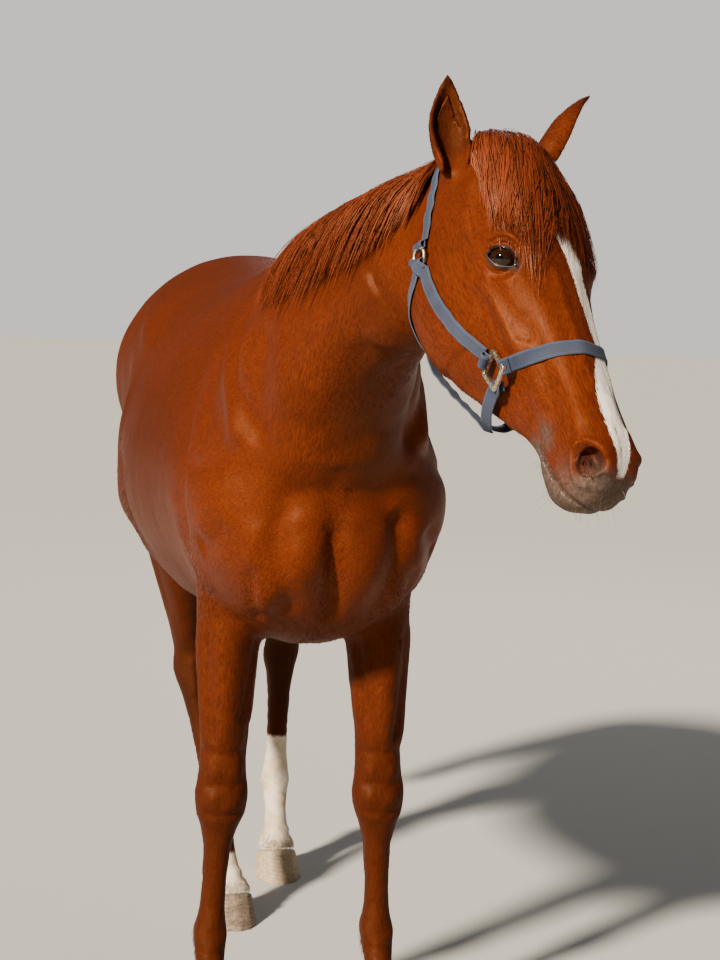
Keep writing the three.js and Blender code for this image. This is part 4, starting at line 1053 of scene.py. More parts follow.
def locks(name, paths, flat, half_width, half_thick, part, finish, seed=1, with_marks=False):
    """One mesh of tapered blades. paths: lock x ring x 3; flat: which way each blade's face looks; the last
    ring of a path is its tip. Every blade's patch on the unwrap is 0.003 across, at its root's place."""
    count, rings = paths.shape[:2]
    along = np.gradient(paths, axis=1)
    along /= np.maximum(np.linalg.norm(along, axis=2), 1e-9)[..., None]
    flat = flat - along * (flat * along).sum(2)[..., None]
    flat /= np.maximum(np.linalg.norm(flat, axis=2), 1e-9)[..., None]
    wide = np.cross(along, flat)
    corners = [(-1, 0), (0, 1), (1, 0)]
    body = np.stack([paths + wide * (half_width * x)[..., None] + flat * (half_thick * y)[..., None]
                     for x, y in corners], 2)[:, :-1]
    points = np.concatenate([body.reshape(count, -1, 3), paths[:, -1:]], 1)
    size = points.shape[1]
    ring = np.arange(rings - 2)[:, None, None] * 3
    j = np.arange(3)[None, :, None]
    quads = np.concatenate([ring + j, ring + (j + 1) % 3, ring + 3 + (j + 1) % 3, ring + 3 + j], 2).reshape(-1, 4)
    triangles = np.concatenate([quads[:, [0, 1, 2]], quads[:, [0, 2, 3]],
                                [[(rings - 2) * 3 + k, (rings - 2) * 3 + (k + 1) % 3, size - 1] for k in range(3)],
                                [[0, 2, 1]]])
    every = (triangles[None] + (np.arange(count) * size)[:, None, None]).reshape(-1, 3)
    mesh = bpy.data.meshes.new(name)
    mesh.vertices.add(count * size)
    mesh.vertices.foreach_set("co", points.astype(np.float32).ravel())
    mesh.loops.add(every.size)
    mesh.loops.foreach_set("vertex_index", every.astype(np.int32).ravel())
    mesh.polygons.add(len(every))
    mesh.polygons.foreach_set("loop_start", (np.arange(len(every)) * 3).astype(np.int32))
    mesh.polygons.foreach_set("use_smooth", np.ones(len(every), bool))
    mesh.update(calc_edges=True)
    facing = np.stack([flat * (1 - 0.15 * x * x) + wide * 0.42 * x for x, _ in corners], 2)[:, :-1]
    facing = np.concatenate([facing.reshape(count, -1, 3), flat[:, -1:]], 1).reshape(-1, 3)
    facing /= np.maximum(np.linalg.norm(facing, axis=1), 1e-9)[:, None]
    mesh.normals_split_custom_set_from_vertices(facing.tolist())
    share = np.concatenate([np.repeat(np.arange(rings - 1) / (rings - 1), 3), [1.0]])
    spot = np.concatenate([np.tile([-0.5, 0, 0.5], rings - 1), [0.0]])
    patch = 0.003 * np.stack([spot, share - 0.5], 1)
    place = (unwrapped(paths[:, 0], part)[:, None] + patch[None]).reshape(-1, 2)
    layer = mesh.uv_layers.new(name="OFBake")
    layer.data.foreach_set("uv", place[every.ravel()].astype(np.float32).ravel())
    rng = np.random.default_rng(seed)
    for label, values in (("shade", np.repeat(rng.random(count), size)), ("along", np.tile(share, count))):
        mesh.attributes.new(label, "FLOAT", "POINT").data.foreach_set("value", values.astype(np.float32))
    if with_marks:
        roots = np.repeat(paths[:, 0], size, 0)
        for label, values in marks(roots).items():
            mesh.attributes.new(label, "FLOAT", "POINT").data.foreach_set("value", np.asarray(values, np.float32))
    mesh.materials.append(finish)
    made = bpy.data.objects.new(name, mesh)
    bpy.context.scene.collection.objects.link(made)
    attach(made, "root")
    return made


def hair_material(name, deep, warm, pale):
    finish, tree, shader = material(name, Roughness=0.42, Specular_IOR_Level=0.5, Coat_Weight=0.10, Coat_Roughness=0.35)
    shader.inputs["Specular Tint"].default_value = srgb(255, 196, 150)
    strands = combed(tree, (0, 0.1, -1), 1500, 14, 2.0)
    colour = blend(tree, spread(tree, attribute(tree, "shade"), 0.1, 0.9), deep, warm)
    colour = blend(tree, spread(tree, strands, 0.45, 0.72, 0.0, 0.8), colour, pale)
    colour = blend(tree, spread(tree, attribute(tree, "along"), 0.0, 0.42, 0.8, 0.0), colour, deep)
    tree.links.new(colour, shader.inputs["Base Color"])
    relief = tree.nodes.new("ShaderNodeBump")
    relief.inputs["Strength"].default_value, relief.inputs["Distance"].default_value = 0.45, 0.0009
    tree.links.new(strands, relief.inputs["Height"])
    tree.links.new(relief.outputs["Normal"], shader.inputs["Normal"])
    return finish


long_hair = hair_material("long_hair", srgb(40, 12, 5), srgb(94, 33, 12), srgb(148, 66, 26))

first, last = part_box("mane")
off_ears = np.ones(len(skin_points), bool)
for word in ("ear_right", "ear_left"):
    low, high = (np.array(corner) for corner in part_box(word))
    off_ears &= ~((skin_points > low - 0.012) & (skin_points < high + 0.012)).all(1)
rows = []
for y in np.arange(first.y + 0.02, last.y, 0.02):
    slab = skin_points[(np.abs(skin_points[:, 1] - y) < 0.012) & off_ears & (np.abs(skin_points[:, 0] - 0.1) < 0.2)]
    if len(slab):
        rows.append(slab[slab[:, 2].argmax()])
rows = np.array(rows)
crest_x, crest_z = np.polyfit(rows[:, 1], rows[:, 0], 3), np.polyfit(rows[:, 1], rows[:, 2], 4)
rng = np.random.default_rng(7)
LOCKS = 7400
clumps = LOCKS // 16
clump_y = rng.uniform(first.y + 0.035, last.y - 0.01, clumps)
clump_length = rng.normal(1.0, 0.14, clumps).clip(0.6, 1.35)
clump_lean = rng.normal(0, 0.17, clumps)
clump = rng.integers(0, clumps, LOCKS)
y = clump_y[clump] + rng.normal(0, 0.013, LOCKS)
layer = rng.random(LOCKS)
x = np.polyval(crest_x, y) - 0.008 + 0.026 * (layer - 0.35) + rng.normal(0, 0.002, LOCKS)
z = np.polyval(crest_z, y) + 0.004
share = (y - first.y) / (last.y - first.y)
length = ((0.142 + 0.074 * np.sin(math.pi * np.clip(share, 0, 1) ** 0.8)) * clump_length[clump]
          * rng.normal(1, 0.05, LOCKS))
length *= 1 - 0.45 * ramp(share, 0.86, 1.0)
rings = 9
paths = np.zeros((LOCKS, rings, 3))
flats = np.zeros((LOCKS, rings, 3))
for i in range(LOCKS):
    p = Vector((x[i], y[i], z[i]))
    hit, facing, _, _ = surface.find_nearest(p)
    p = hit + facing * 0.001
    way = (Vector((-0.85, 0.10 + 0.35 * clump_lean[clump[i]], 0.10)) + Vector(rng.normal(0, 0.07, 3))).normalized()
    stand = 0.003 + 0.012 * layer[i]
    for k in range(rings):
        paths[i, k] = p
        flats[i, k] = facing
        step = length[i] / (rings - 1)
        pull = Vector((-0.10, 0.12 + 0.25 * clump_lean[clump[i]], -0.85))
        way = (way + pull * (0.30 + 0.25 * k / rings)).normalized()
        p = p + way * step
        hit, facing, _, _ = surface.find_nearest(p)
        gap = (p - hit).dot(facing)
        wanted = stand * (0.5 + math.sin(math.pi * min(1, (k + 1) / rings * 0.9)) * 0.9)
        if gap < wanted:
            p = hit + facing * wanted
        elif gap > wanted * 1.6 + 0.004 and k > 1:
            p = hit + facing * (wanted * 1.6 + 0.004)
paths[:, 0] -= 0.003 * flats[:, 0]
for _ in range(2):
    paths[:, 1:-1] = (paths[:, :-2] + 2 * paths[:, 1:-1] + paths[:, 2:]) / 4
taper = np.array([0.7, 1, 1.05, 1, 0.95, 0.85, 0.7, 0.5, 0])
width = rng.uniform(0.0007, 0.0017, LOCKS)
for part, half in (("under", layer < 0.5), ("over", layer >= 0.5)):
    mane = locks("mane_" + part, paths[half], flats[half], width[half, None] * taper,
                 0.0005 * np.tile(taper ** 0.5, (half.sum(), 1)), "neck", long_hair, 11)
    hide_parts("mane")

LOCKS = 5400
clumps = LOCKS // 20
fan = rng.uniform(0, 1, clumps)
clump = rng.integers(0, clumps, LOCKS)
across = np.clip(fan[clump] + rng.normal(0, 0.045, LOCKS), 0, 1)
layer = rng.random(LOCKS)
reach_out = np.interp(across, [0, 0.12, 0.26, 0.36, 0.45, 0.58, 0.7, 0.85, 1],
                      [136, 150, 166, 208, 178, 146, 158, 196, 160])
reach_out = (reach_out * rng.normal(0.98, 0.19, clumps).clip(0.45, 1.2)[clump] * rng.normal(1, 0.11, LOCKS)
             - 22 * layer ** 2)
start = np.stack([-68 + 114 * across + rng.normal(0, 4, LOCKS), rng.uniform(-92, 14, LOCKS)], 1)
ending = np.stack([np.interp(across, [0, 0.2, 0.45, 0.62, 0.85, 1], [-108, -96, -62, -18, 48, 84])
                   + rng.normal(0, 3, LOCKS), reach_out], 1)
rings = 11
paths = np.zeros((LOCKS, rings, 3))
flats = np.zeros((LOCKS, rings, 3))
bow, sway = rng.normal(0, 7, clumps), rng.normal(0, 6, clumps)
own_sway, phase, depth = rng.normal(0, 1.1, LOCKS), rng.uniform(0, 6.3, LOCKS), rng.normal(0, 0.0035, clumps)
axis_v = -118.0
for i in range(LOCKS):
    for k in range(rings):
        t = k / (rings - 1)
        u, a = start[i] + (ending[i] - start[i]) * np.array([t ** 1.15, t])
        u += bow[clump[i]] * math.sin(math.pi * t) + (fan[clump[i]] - across[i]) * 130 * t * t * 0.7
        u += t * (sway[clump[i]] * math.sin(3.6 * t + phase[clump[i]]) + own_sway[i] * math.sin(7 * t + phase[i]))
        turn = u / 118.0
        inner = Vector(from_head([(0, a, axis_v)])[0])
        aim = Vector(from_head([(math.sin(turn) * 300, a, axis_v + math.cos(turn) * 300)])[0])
        hit, facing, _, _ = surface.ray_cast(aim, (inner - aim).normalized(), 0.3)
        if hit is None:
            hit, facing, _, _ = surface.find_nearest(aim.lerp(inner, 0.6))
        stand = 0.002 + (0.003 + 0.014 * layer[i]) * math.sin(math.pi * min(1, 0.12 + t * 0.86)) ** 0.8
        stand += 0.013 * (1 - ramp(a, -30, 40)) * ramp(t, 0, 0.12)
        stand = max(0.0012, stand + depth[clump[i]] * t)
        paths[i, k] = hit + facing * stand
        flats[i, k] = facing
paths[:, 0] -= 0.004 * flats[:, 0]
paths[:, 1:-1] = (paths[:, :-2] + 2 * paths[:, 1:-1] + paths[:, 2:]) / 4
taper = np.array([0.6, 0.9, 1, 1, 1, 0.95, 0.9, 0.8, 0.65, 0.4, 0])
width = rng.uniform(0.0005, 0.0014, LOCKS)
for part, half in (("under", layer < 0.5), ("over", layer >= 0.5)):
    forelock = locks("forelock_" + part, paths[half], flats[half], width[half, None] * taper,
                     0.0005 * np.tile(taper ** 0.5, (half.sum(), 1)), "head", long_hair, 12)
    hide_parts("forelock")

tail_points = np.array([v.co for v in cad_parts["tail"].data.vertices])
first, last = (np.array(corner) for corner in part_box("tail"))
levels = np.linspace(last[2], first[2], 12)
slices = []
for level in levels:
    near = tail_points[np.abs(tail_points[:, 2] - level) < 0.07]
    slices.append([*(near[:, :2].min(0) + near[:, :2].max(0)) / 2, *(near[:, :2].max(0) - near[:, :2].min(0)) / 2])
slices = np.array(slices)
LOCKS = 3700
rings = 12
clumps = LOCKS // 18
clump = rng.integers(0, clumps, LOCKS)
angle = (rng.uniform(0, 2 * math.pi, clumps)[clump] + rng.normal(0, 0.10, LOCKS))
radial = np.sqrt(rng.random(LOCKS)) * 0.55 + 0.42
top = last[2] - 0.012 - rng.random(LOCKS) ** 1.4 * 0.34
bottom = (first[2] + 0.004 + np.abs(rng.normal(0, 0.07, clumps))[clump] + np.abs(rng.normal(0, 0.03, LOCKS))
          + 0.10 * (1 - radial))
t = np.linspace(0, 1, rings)[None]
level = top[:, None] + (bottom - top)[:, None] * t
cx, cy, rx, ry = (np.interp(-level, -levels, slices[:, i]) for i in range(4))
spread_out = (radial[:, None] - 0.40 * (1 - ramp(t, 0, 0.10))) * (0.30 + 0.67 * ramp(t, 0, 0.25)) * (1 - 0.35 * t ** 4)
wave = 0.006 * np.sin(level * rng.uniform(14, 26, clumps)[clump][:, None] + rng.uniform(0, 6, clumps)[clump][:, None])
paths = np.stack([cx + rx * spread_out * np.cos(angle)[:, None] + wave * np.sin(angle)[:, None],
                  cy + ry * spread_out * np.sin(angle)[:, None] - wave * np.cos(angle)[:, None], level], 2)
paths[:, :, 1] -= 0.060 * np.exp((level - last[2]) / 0.055)  # the dock comes out of the rump
flats = np.stack([np.cos(angle)[:, None] + 0 * level, np.sin(angle)[:, None] + 0 * level, 0.1 + 0 * level], 2)
taper = np.interp(t[0], [0, 0.1, 0.5, 0.85, 0.95, 1], [0.7, 1, 1, 0.75, 0.45, 0])
width = rng.uniform(0.0020, 0.0042, LOCKS)
for part, half in (("inner", radial < 0.78), ("outer", radial >= 0.78)):
    tail = locks("tail_" + part, paths[half], flats[half], width[half, None] * taper,
                 0.0011 * np.tile(taper ** 0.5, (half.sum(), 1)), "tail", long_hair, 13)
    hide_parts("tail")


# The hooves: horn grown in rings, widening to the ground, under a soft coronet band of skin. The horn is dark
# slate on the plain feet and pale on the white one; the sole stands flat on the floor.
horn = []
for name, light, dark_tone in (("horn_dark", srgb(132, 114, 94), srgb(70, 58, 50)),
                               ("horn_pale", srgb(196, 176, 146), srgb(142, 120, 94))):
    finish, tree, shader = material(name, Roughness=0.5, Specular_IOR_Level=0.4)
    streak = combed(tree, (0, 0.35, -1), 420, 18, 3.0)
    grown = cloudy(tree, 60, 3.0)
    colour = blend(tree, spread(tree, streak, 0.35, 0.68), dark_tone, light)
    colour = blend(tree, spread(tree, grown, 0.42, 0.7, 0.0, 0.5), colour, srgb(150, 132, 108))
    tree.links.new(colour, shader.inputs["Base Color"])
    relief = tree.nodes.new("ShaderNodeBump")
    relief.inputs["Strength"].default_value, relief.inputs["Distance"].default_value = 0.5, 0.0006
    tree.links.new(sum_of(tree, "ADD", streak, grown), relief.inputs["Height"])
    tree.links.new(relief.outputs["Normal"], shader.inputs["Normal"])
    horn.append(finish)
for name in ("forehoof_right", "forehoof_left", "hindhoof_right", "hindhoof_left"):
    points, faces = welded(copied([name], 0.0002), 0.0030)
    flat_sole = points[:, 2] < 0.0022
    points = relaxed(points, faces, np.where(flat_sole, 0.0, 0.006), 0.0027)
    outward = normals_of(points, faces)
    tall = size(name)[2]
    up = points[:, 2] / tall
    wall = ramp(np.abs(outward[:, 2]), 0.9, 0.6) * ramp(up, 0.02, 0.10)
    grow = 0.0005 * np.sin(up * 2 * math.pi * 9 + 1.5 * np.sin(points[:, 0] * 60)) * ramp(up, 1.0, 0.8)
    grow += 0.0024 * np.exp(-((up - 0.93) / 0.06) ** 2)
    heel = points[:, 1] - middle(name)[1]
    grow -= 0.0035 * np.exp(-(points[:, 0] - middle(name)[0]) ** 2 / 0.009 ** 2) * ramp(heel, 0.03, 0.07)
    points = points + outward * (grow * wall)[:, None]
    points[:, 2] = np.maximum(points[:, 2], 0.0)
    points[flat_sole, 2] = 0.0
    hoof = object_from("horn_" + name, points, faces, horn[name == "hindhoof_left"])
    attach(hoof, "root")
    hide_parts(name)

# The headcollar: 25 mm nylon webbing, blue gone grey with wear, sewn back on itself round two cast rings on
# each cheek. It lies on the coat; only the chin and jaw straps hang clear. Guide points are in the head, in mm.
WIDE, THICK = 0.025, 0.0024
RIGHT_CROWN = [(-87, 88, -201), (-82, 40, -187), (-78, 4, -174), (-76, -28, -158), (-70, -60, -144), (-54, -82, -134),
               (-28, -92, -126)]
RIGHT_CHEEK = [(-90, 106, -206), (-92, 160, -204), (-89, 220, -194), (-80, 280, -175), (-71, 336, -151)]
RIGHT_THROAT = [(-87, 98, -216), (-84, 110, -236), (-74, 124, -259), (-56, 150, -286), (-32, 178, -301),
                (-14, 196, -303)]
RIGHT_NOSE = [(-72, 357, -132), (-74, 368, -95), (-68, 376, -59), (-47, 383, -24)]
RIGHT_CHIN = [(-64, 360, -150), (-50, 372, -184), (-35, 384, -216)]


def mirrored(half, centre):
    return half + [centre] + [(-u, a, v) for u, a, v in half[::-1]]


STRAPS = {
    "halter_crown": (mirrored(RIGHT_CROWN, (0, -95, -122)), "halter_ring", "halter_ring", True),
    "halter_cheek_right": (RIGHT_CHEEK, "halter_ring", "halter_square", True),
    "halter_cheek_left": ([(-u, a, v) for u, a, v in RIGHT_CHEEK], "halter_ring", "halter_square", True),
    "halter_throat": (mirrored(RIGHT_THROAT, (0, 202, -304)), "halter_ring", "halter_ring", True),
    "halter_noseband": (mirrored(RIGHT_NOSE, (0, 386, -4)), "halter_square", "halter_square", True),
    "halter_chin": (mirrored(RIGHT_CHIN, (0, 388, -240)), "halter_square", "halter_square", False),
    "halter_jaw": ([(0, 199, -309), (0, 230, -309), (0, 272, -294), (0, 318, -275), (0, 356, -257), (0, 388, -246)],
                   None, None, False)}


def webbing_material():
    finish, tree, shader = material("worn_webbing", Roughness=0.78, Specular_IOR_Level=0.2, Sheen_Weight=0.03,
                                    Sheen_Roughness=0.5)
    cloth = tree.nodes.new("ShaderNodeUVMap")
    cloth.uv_map = "weave"

    def ribs(turn, scale):
        lay = tree.nodes.new("ShaderNodeMapping")
        lay.inputs["Rotation"].default_value[2] = turn
        lay.inputs["Scale"].default_value = (scale, scale, scale)
        tree.links.new(cloth.outputs["UV"], lay.inputs["Vector"])
        wave = tree.nodes.new("ShaderNodeTexWave")
        wave.inputs["Scale"].default_value, wave.inputs["Distortion"].default_value = 1.0, 0.35
        wave.inputs["Detail Scale"].default_value = 2.0
        tree.links.new(lay.outputs["Vector"], wave.inputs["Vector"])
        return wave.outputs["Fac"]

    one, two = ribs(0.6, 190), ribs(-0.6, 190)
    weave = sum_of(tree, "MAXIMUM", one, two)
    along_edge = spread(tree, attribute(tree, "edge"), 0.75, 1.0)
    dirt, fade = cloudy(tree, 46, 4.0), cloudy(tree, 12, 2.0)
    colour = blend(tree, spread(tree, weave, 0.2, 0.9), srgb(23, 28, 42), srgb(51, 59, 80))
    colour = blend(tree, spread(tree, fade, 0.35, 0.7, 0.0, 0.5), colour, srgb(72, 79, 98))
    colour = blend(tree, spread(tree, dirt, 0.5, 0.75, 0.0, 0.6), colour, srgb(64, 58, 56))
    colour = blend(tree, sum_of(tree, "MULTIPLY", along_edge, 0.4), colour, srgb(84, 90, 106))
    tree.links.new(colour, shader.inputs["Base Color"])
    relief = tree.nodes.new("ShaderNodeBump")
    relief.inputs["Strength"].default_value, relief.inputs["Distance"].default_value = 0.8, 0.0006
    tree.links.new(sum_of(tree, "ADD", weave, sum_of(tree, "MULTIPLY", dirt, 0.8)), relief.inputs["Height"])
    tree.links.new(relief.outputs["Normal"], shader.inputs["Normal"])
    return finish


nylon = webbing_material()
thread = plain("stitch_thread", Base_Color=srgb(86, 93, 112), Roughness=0.7)


def webbing(name, line, normals, wrinkle_seed):
    """A woven strap along a line of points; returns it and the two lines its stitches follow."""
    count, over = len(line), 8
    ahead = np.gradient(line, axis=0)
    ahead /= np.linalg.norm(ahead, axis=1)[:, None]
    aside = np.cross(ahead, normals)
    aside /= np.linalg.norm(aside, axis=1)[:, None]
    out = np.cross(aside, ahead)
    far = np.concatenate([[0], np.cumsum(np.linalg.norm(np.diff(line, axis=0), axis=1))])
    rng = np.random.default_rng(wrinkle_seed)
    ripple = sum(0.00035 * np.sin(far * rng.uniform(60, 210) + rng.uniform(0, 6)) for _ in range(4))
    j = np.linspace(-1, 1, over + 1)
    base = line[:, None] + aside[:, None] * (j * WIDE / 2)[None, :, None]
    base += out[:, None] * (ripple[:, None] * (0.4 + 0.6 * np.abs(j)[None]))[..., None]
    thick = THICK * (1 - 0.35 * np.abs(j) ** 8)
    upper_side, lower_side = base + out[:, None] * thick[None, :, None], base + out[:, None] * 0.0001
    points = np.concatenate([upper_side, lower_side[:, ::-1]], 1)
    around = points.shape[1]
    faces = [(i * around + k, i * around + (k + 1) % around, (i + 1) * around + (k + 1) % around, (i + 1) * around + k)
             for i in range(count - 1) for k in range(around)]
    faces += [tuple(range(around))[::-1], tuple((count - 1) * around + k for k in range(around))]
    strap = object_from(name, points.reshape(-1, 3), [f[::-1] for f in faces], nylon)
    flat = np.stack([np.tile(np.concatenate([j, j[::-1]]) * WIDE / 2, count), np.repeat(far, around)], 1)
    loops = np.zeros(len(strap.data.loops), np.int32)
    strap.data.loops.foreach_get("vertex_index", loops)
    strap.data.uv_layers.new(name="weave").data.foreach_set("uv", flat[loops].astype(np.float32).ravel())
    strap.data.attributes.new("edge", "FLOAT", "POINT").data.foreach_set(
        "value", np.tile(np.abs(np.concatenate([j, j[::-1]])), count).astype(np.float32))
    seams = [upper_side[:, 1], upper_side[:, -2]]
    return strap, seams


def stitched(name, seams, ways):
    """Stitches along seams, made by Geometry Nodes: a short bead every 4.2 mm, laid along the seam."""
    mesh = bpy.data.meshes.new(name)
    spots, lays = [], []
    for seam in seams:
        far = np.concatenate([[0], np.cumsum(np.linalg.norm(np.diff(seam, axis=0), axis=1))])
        steps = np.arange(0.004, far[-1] - 0.004, 0.0042)
        spot = np.stack([np.interp(steps, far, seam[:, i]) for i in range(3)], 1)
        spots.append(spot)
        lays.append(np.gradient(spot, axis=0))
    spots, lays = np.concatenate(spots), np.concatenate(lays)
    mesh.vertices.add(len(spots))
    mesh.vertices.foreach_set("co", spots.astype(np.float32).ravel())
    mesh.attributes.new("lay", "FLOAT_VECTOR", "POINT").data.foreach_set("vector", lays.astype(np.float32).ravel())
    made = bpy.data.objects.new(name, mesh)
    bpy.context.scene.collection.objects.link(made)
    tree = bpy.data.node_groups.new("stitches", "GeometryNodeTree")
    for label, kind, side, value in (("Seam", "NodeSocketGeometry", "INPUT", None),
                                     ("Length", "NodeSocketFloat", "INPUT", 0.0030),
                                     ("Thread", "NodeSocketFloat", "INPUT", 0.0009),
                                     ("Out", "NodeSocketGeometry", "OUTPUT", None)):
        socket = tree.interface.new_socket(label, in_out=side, socket_type=kind)
        if value:
            socket.default_value = value
    node = tree.nodes.new
    start, finish_node = node("NodeGroupInput"), node("NodeGroupOutput")
    bead, scale = node("GeometryNodeMeshUVSphere"), node("ShaderNodeCombineXYZ")
    put = node("GeometryNodeInstanceOnPoints")
    for label, value in (("Segments", 6), ("Rings", 4), ("Radius", 0.5)):
        bead.inputs[label].default_value = value
    lay, turn = node("GeometryNodeInputNamedAttribute"), node("FunctionNodeAlignRotationToVector")
    lay.data_type, turn.axis = "FLOAT_VECTOR", "Z"
    lay.inputs["Name"].default_value = "lay"
    real, paint = node("GeometryNodeRealizeInstances"), node("GeometryNodeSetMaterial")
    paint.inputs["Material"].default_value = thread
    link = tree.links.new
    link(start.outputs["Seam"], put.inputs["Points"])
    link(bead.outputs["Mesh"], put.inputs["Instance"])
    link(lay.outputs["Attribute"], turn.inputs["Vector"])
    link(turn.outputs["Rotation"], put.inputs["Rotation"])
    link(start.outputs["Thread"], scale.inputs["X"])
    link(start.outputs["Thread"], scale.inputs["Y"])
    link(start.outputs["Length"], scale.inputs["Z"])
    link(scale.outputs["Vector"], put.inputs["Scale"])
    link(put.outputs["Instances"], real.inputs["Geometry"])
    link(real.outputs["Geometry"], paint.inputs["Geometry"])
    link(paint.outputs["Geometry"], finish_node.inputs["Out"])
    sewing = made.modifiers.new("stitches", "NODES")
    sewing.node_group = tree
    for socket in tree.interface.items_tree:
        if socket.in_out == "INPUT" and socket.name in ways:
            sewing[socket.identifier] = ways[socket.name]
    bpy.context.view_layer.update()
    plain_mesh = bpy.data.meshes.new_from_object(made.evaluated_get(bpy.context.evaluated_depsgraph_get()))
    made.modifiers.clear()
    made.data = plain_mesh
    return made


all_seams = []
for number, (name, (guides, first_ring, last_ring, lies)) in enumerate(STRAPS.items()):
    line = from_head(curve(guides, 10))
    far = np.concatenate([[0], np.cumsum(np.linalg.norm(np.diff(line, axis=0), axis=1))])
    steps = np.linspace(0, far[-1], int(far[-1] / 0.004))
    line = np.stack([np.interp(steps, far, line[:, i]) for i in range(3)], 1)
    normals = np.zeros_like(line)
    for i, p in enumerate(line):
        hit, facing, _, _ = surface.find_nearest(Vector(p))
        normals[i] = facing
        if lies:
            line[i] = hit + facing * 0.0022
    for _ in range(14):
        normals[1:-1] = (normals[:-2] + 2 * normals[1:-1] + normals[2:]) / 4
        line[1:-1] = (line[:-2] + 2 * line[1:-1] + line[2:]) / 4
    normals /= np.linalg.norm(normals, axis=1)[:, None]
    for _ in range(3 if lies else 0):  # nowhere under the coat, even at its edges
        ahead = np.gradient(line, axis=0)
        aside = np.cross(ahead, normals)
        aside /= np.linalg.norm(aside, axis=1)[:, None]
        lack = np.zeros(len(line))
        for j in (-1, -0.5, 0, 0.5, 1):
            for i, p in enumerate(line + aside * j * WIDE / 2):
                hit, facing, _, _ = surface.find_nearest(Vector(p))
                lack[i] = max(lack[i], 0.0008 - (Vector(p) - hit).dot(facing))
        lack = np.maximum(lack, 0)
        lack[1:-1] = np.maximum(lack[1:-1], (lack[:-2] + lack[2:]) / 2)
        line += normals * np.minimum(lack, 0.004)[:, None]
    for end, ring in ((0, first_ring), (-1, last_ring)):  # sewn back round the ring
        if not ring:
            continue
        word = "_left" if in_head([line[end]])[0, 0] > 0 else "_right"
        centre = middle(ring + word)
        hit, facing, _, _ = surface.find_nearest(Vector(centre))
        n = np.array(facing)
        centre = centre + n * 0.0042
        radius, wire = (0.0145, 0.0028) if ring == "halter_ring" else (0.0225, 0.0034)
        way = centre - line[end]
        way -= n * (way @ n)
        way /= np.linalg.norm(way)
        at = centre - way * radius
        keep = (at - line) @ way > 0.012
        keep |= np.linalg.norm(line - centre, axis=1) > 0.08
        line, normals = line[keep], normals[keep]
        loop = [at - way * 0.006 + n * (wire + 0.0016), at + n * (wire + 0.0022),
                at + way * (wire + 0.0016) + n * 0.0006, at - n * wire * 0.9 + way * 0.001, at - way * 0.012 - n * 0.0018]
        facings = [n, n, way, -n, -n]
        if end == 0:
            line, normals = np.concatenate([loop[::-1], line]), np.concatenate([facings[::-1], normals])
        else:
            line, normals = np.concatenate([line, loop]), np.concatenate([normals, facings])
    strap, seams = webbing("strap_" + name[7:], line, normals, 40 + number)
    all_seams += seams
    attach(strap, "root")
    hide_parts(name)
stitches = stitched("strap_stitches", all_seams, {"Length": 0.0031, "Thread": 0.0009})
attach(stitches, "root")

metal, tree, shader = material("worn_cast_metal", Metallic=1.0, Roughness=0.36, Specular_IOR_Level=0.5)
scuffs = cloudy(tree, 260, 4.0)
colour = blend(tree, spread(tree, scuffs, 0.35, 0.7), srgb(170, 152, 124), srgb(226, 216, 196))
tree.links.new(colour, shader.inputs["Base Color"])
tree.links.new(spread(tree, scuffs, 0.3, 0.7, 0.25, 0.5), shader.inputs["Roughness"])
for name in ("halter_ring_right", "halter_ring_left", "halter_square_right", "halter_square_left"):
    points, faces = welded(copied([name], 0.0011), 0.0008)
    points = relaxed(points, faces, np.full(len(points), 0.0009), 0.00072)
    hit, facing, _, _ = surface.find_nearest(Vector(middle(name)))
    if "square" in name:
        points = middle(name) + (points - middle(name)) * 1.22
    points += np.array(facing) * 0.0042
    ring = object_from("cast_" + name[7:], points, faces, metal)
    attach(ring, "root")
    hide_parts(name)


# Where the short coat breaks the form it stands off in fine tufts: under the jaw and throat, in the breast and
# elbow folds, along the belly and flank, behind the cannons and fetlocks, over the hooves, in and round the ears.
facing = np.cross(corners[:, 1] - corners[:, 0], corners[:, 2] - corners[:, 0])
areas = np.linalg.norm(facing, axis=1)
facing /= np.maximum(areas, 1e-12)[:, None]
x, y, z = centres.T
u, a, v = in_head(centres).T
on_face = (a > 14) & (v > -345) & (np.abs(u) < 150)


def bump_at(value, centre, width):
    return np.exp(-((value - centre) / width) ** 2)


jaw_line = np.interp(a, [0, 200, 300, 440], [-190, -255, -225, -150])
under_jaw = on_face * (a < 440) * ramp(facing[:, 2], -0.35, -0.7) * (v < jaw_line)
throat = ~on_face * (y > -0.86) * (y < -0.60) * (z > 1.25) * ramp(facing[:, 2], -0.3, -0.6)
folds = ((z > 0.84) & (z < 1.16) & (y < -0.34)) * (bump_at(x, -0.012, 0.020) + bump_at(np.abs(x + 0.01), 0.125, 0.028)
                                                 * bump_at(z, 0.93, 0.06))
elbow = bump_at(y, -0.25, 0.05) * bump_at(z, 0.95, 0.07) * (np.abs(x) > 0.12)
belly = (facing[:, 2] < -0.45) * (z > 0.70) * (np.abs(x) < 0.16) * (y > -0.42) * (y < 0.42)
flank = bump_at(y, 0.34, 0.06) * bump_at(z, 1.0, 0.10) * (np.abs(x) > 0.12)
behind = (facing[:, 1] > 0.25) * (z > 0.10) * (z < 0.62) * (y > -0.42)
fetlock = (facing[:, 1] > 0.05) * bump_at(z, 0.165, 0.035)
coronet = bump_at(z, 0.083, 0.008) * (np.abs(facing[:, 2]) < 0.9)
seat = bump_at(z, 1.15, 0.2) * (y > 0.93) * (np.abs(x) < 0.14)
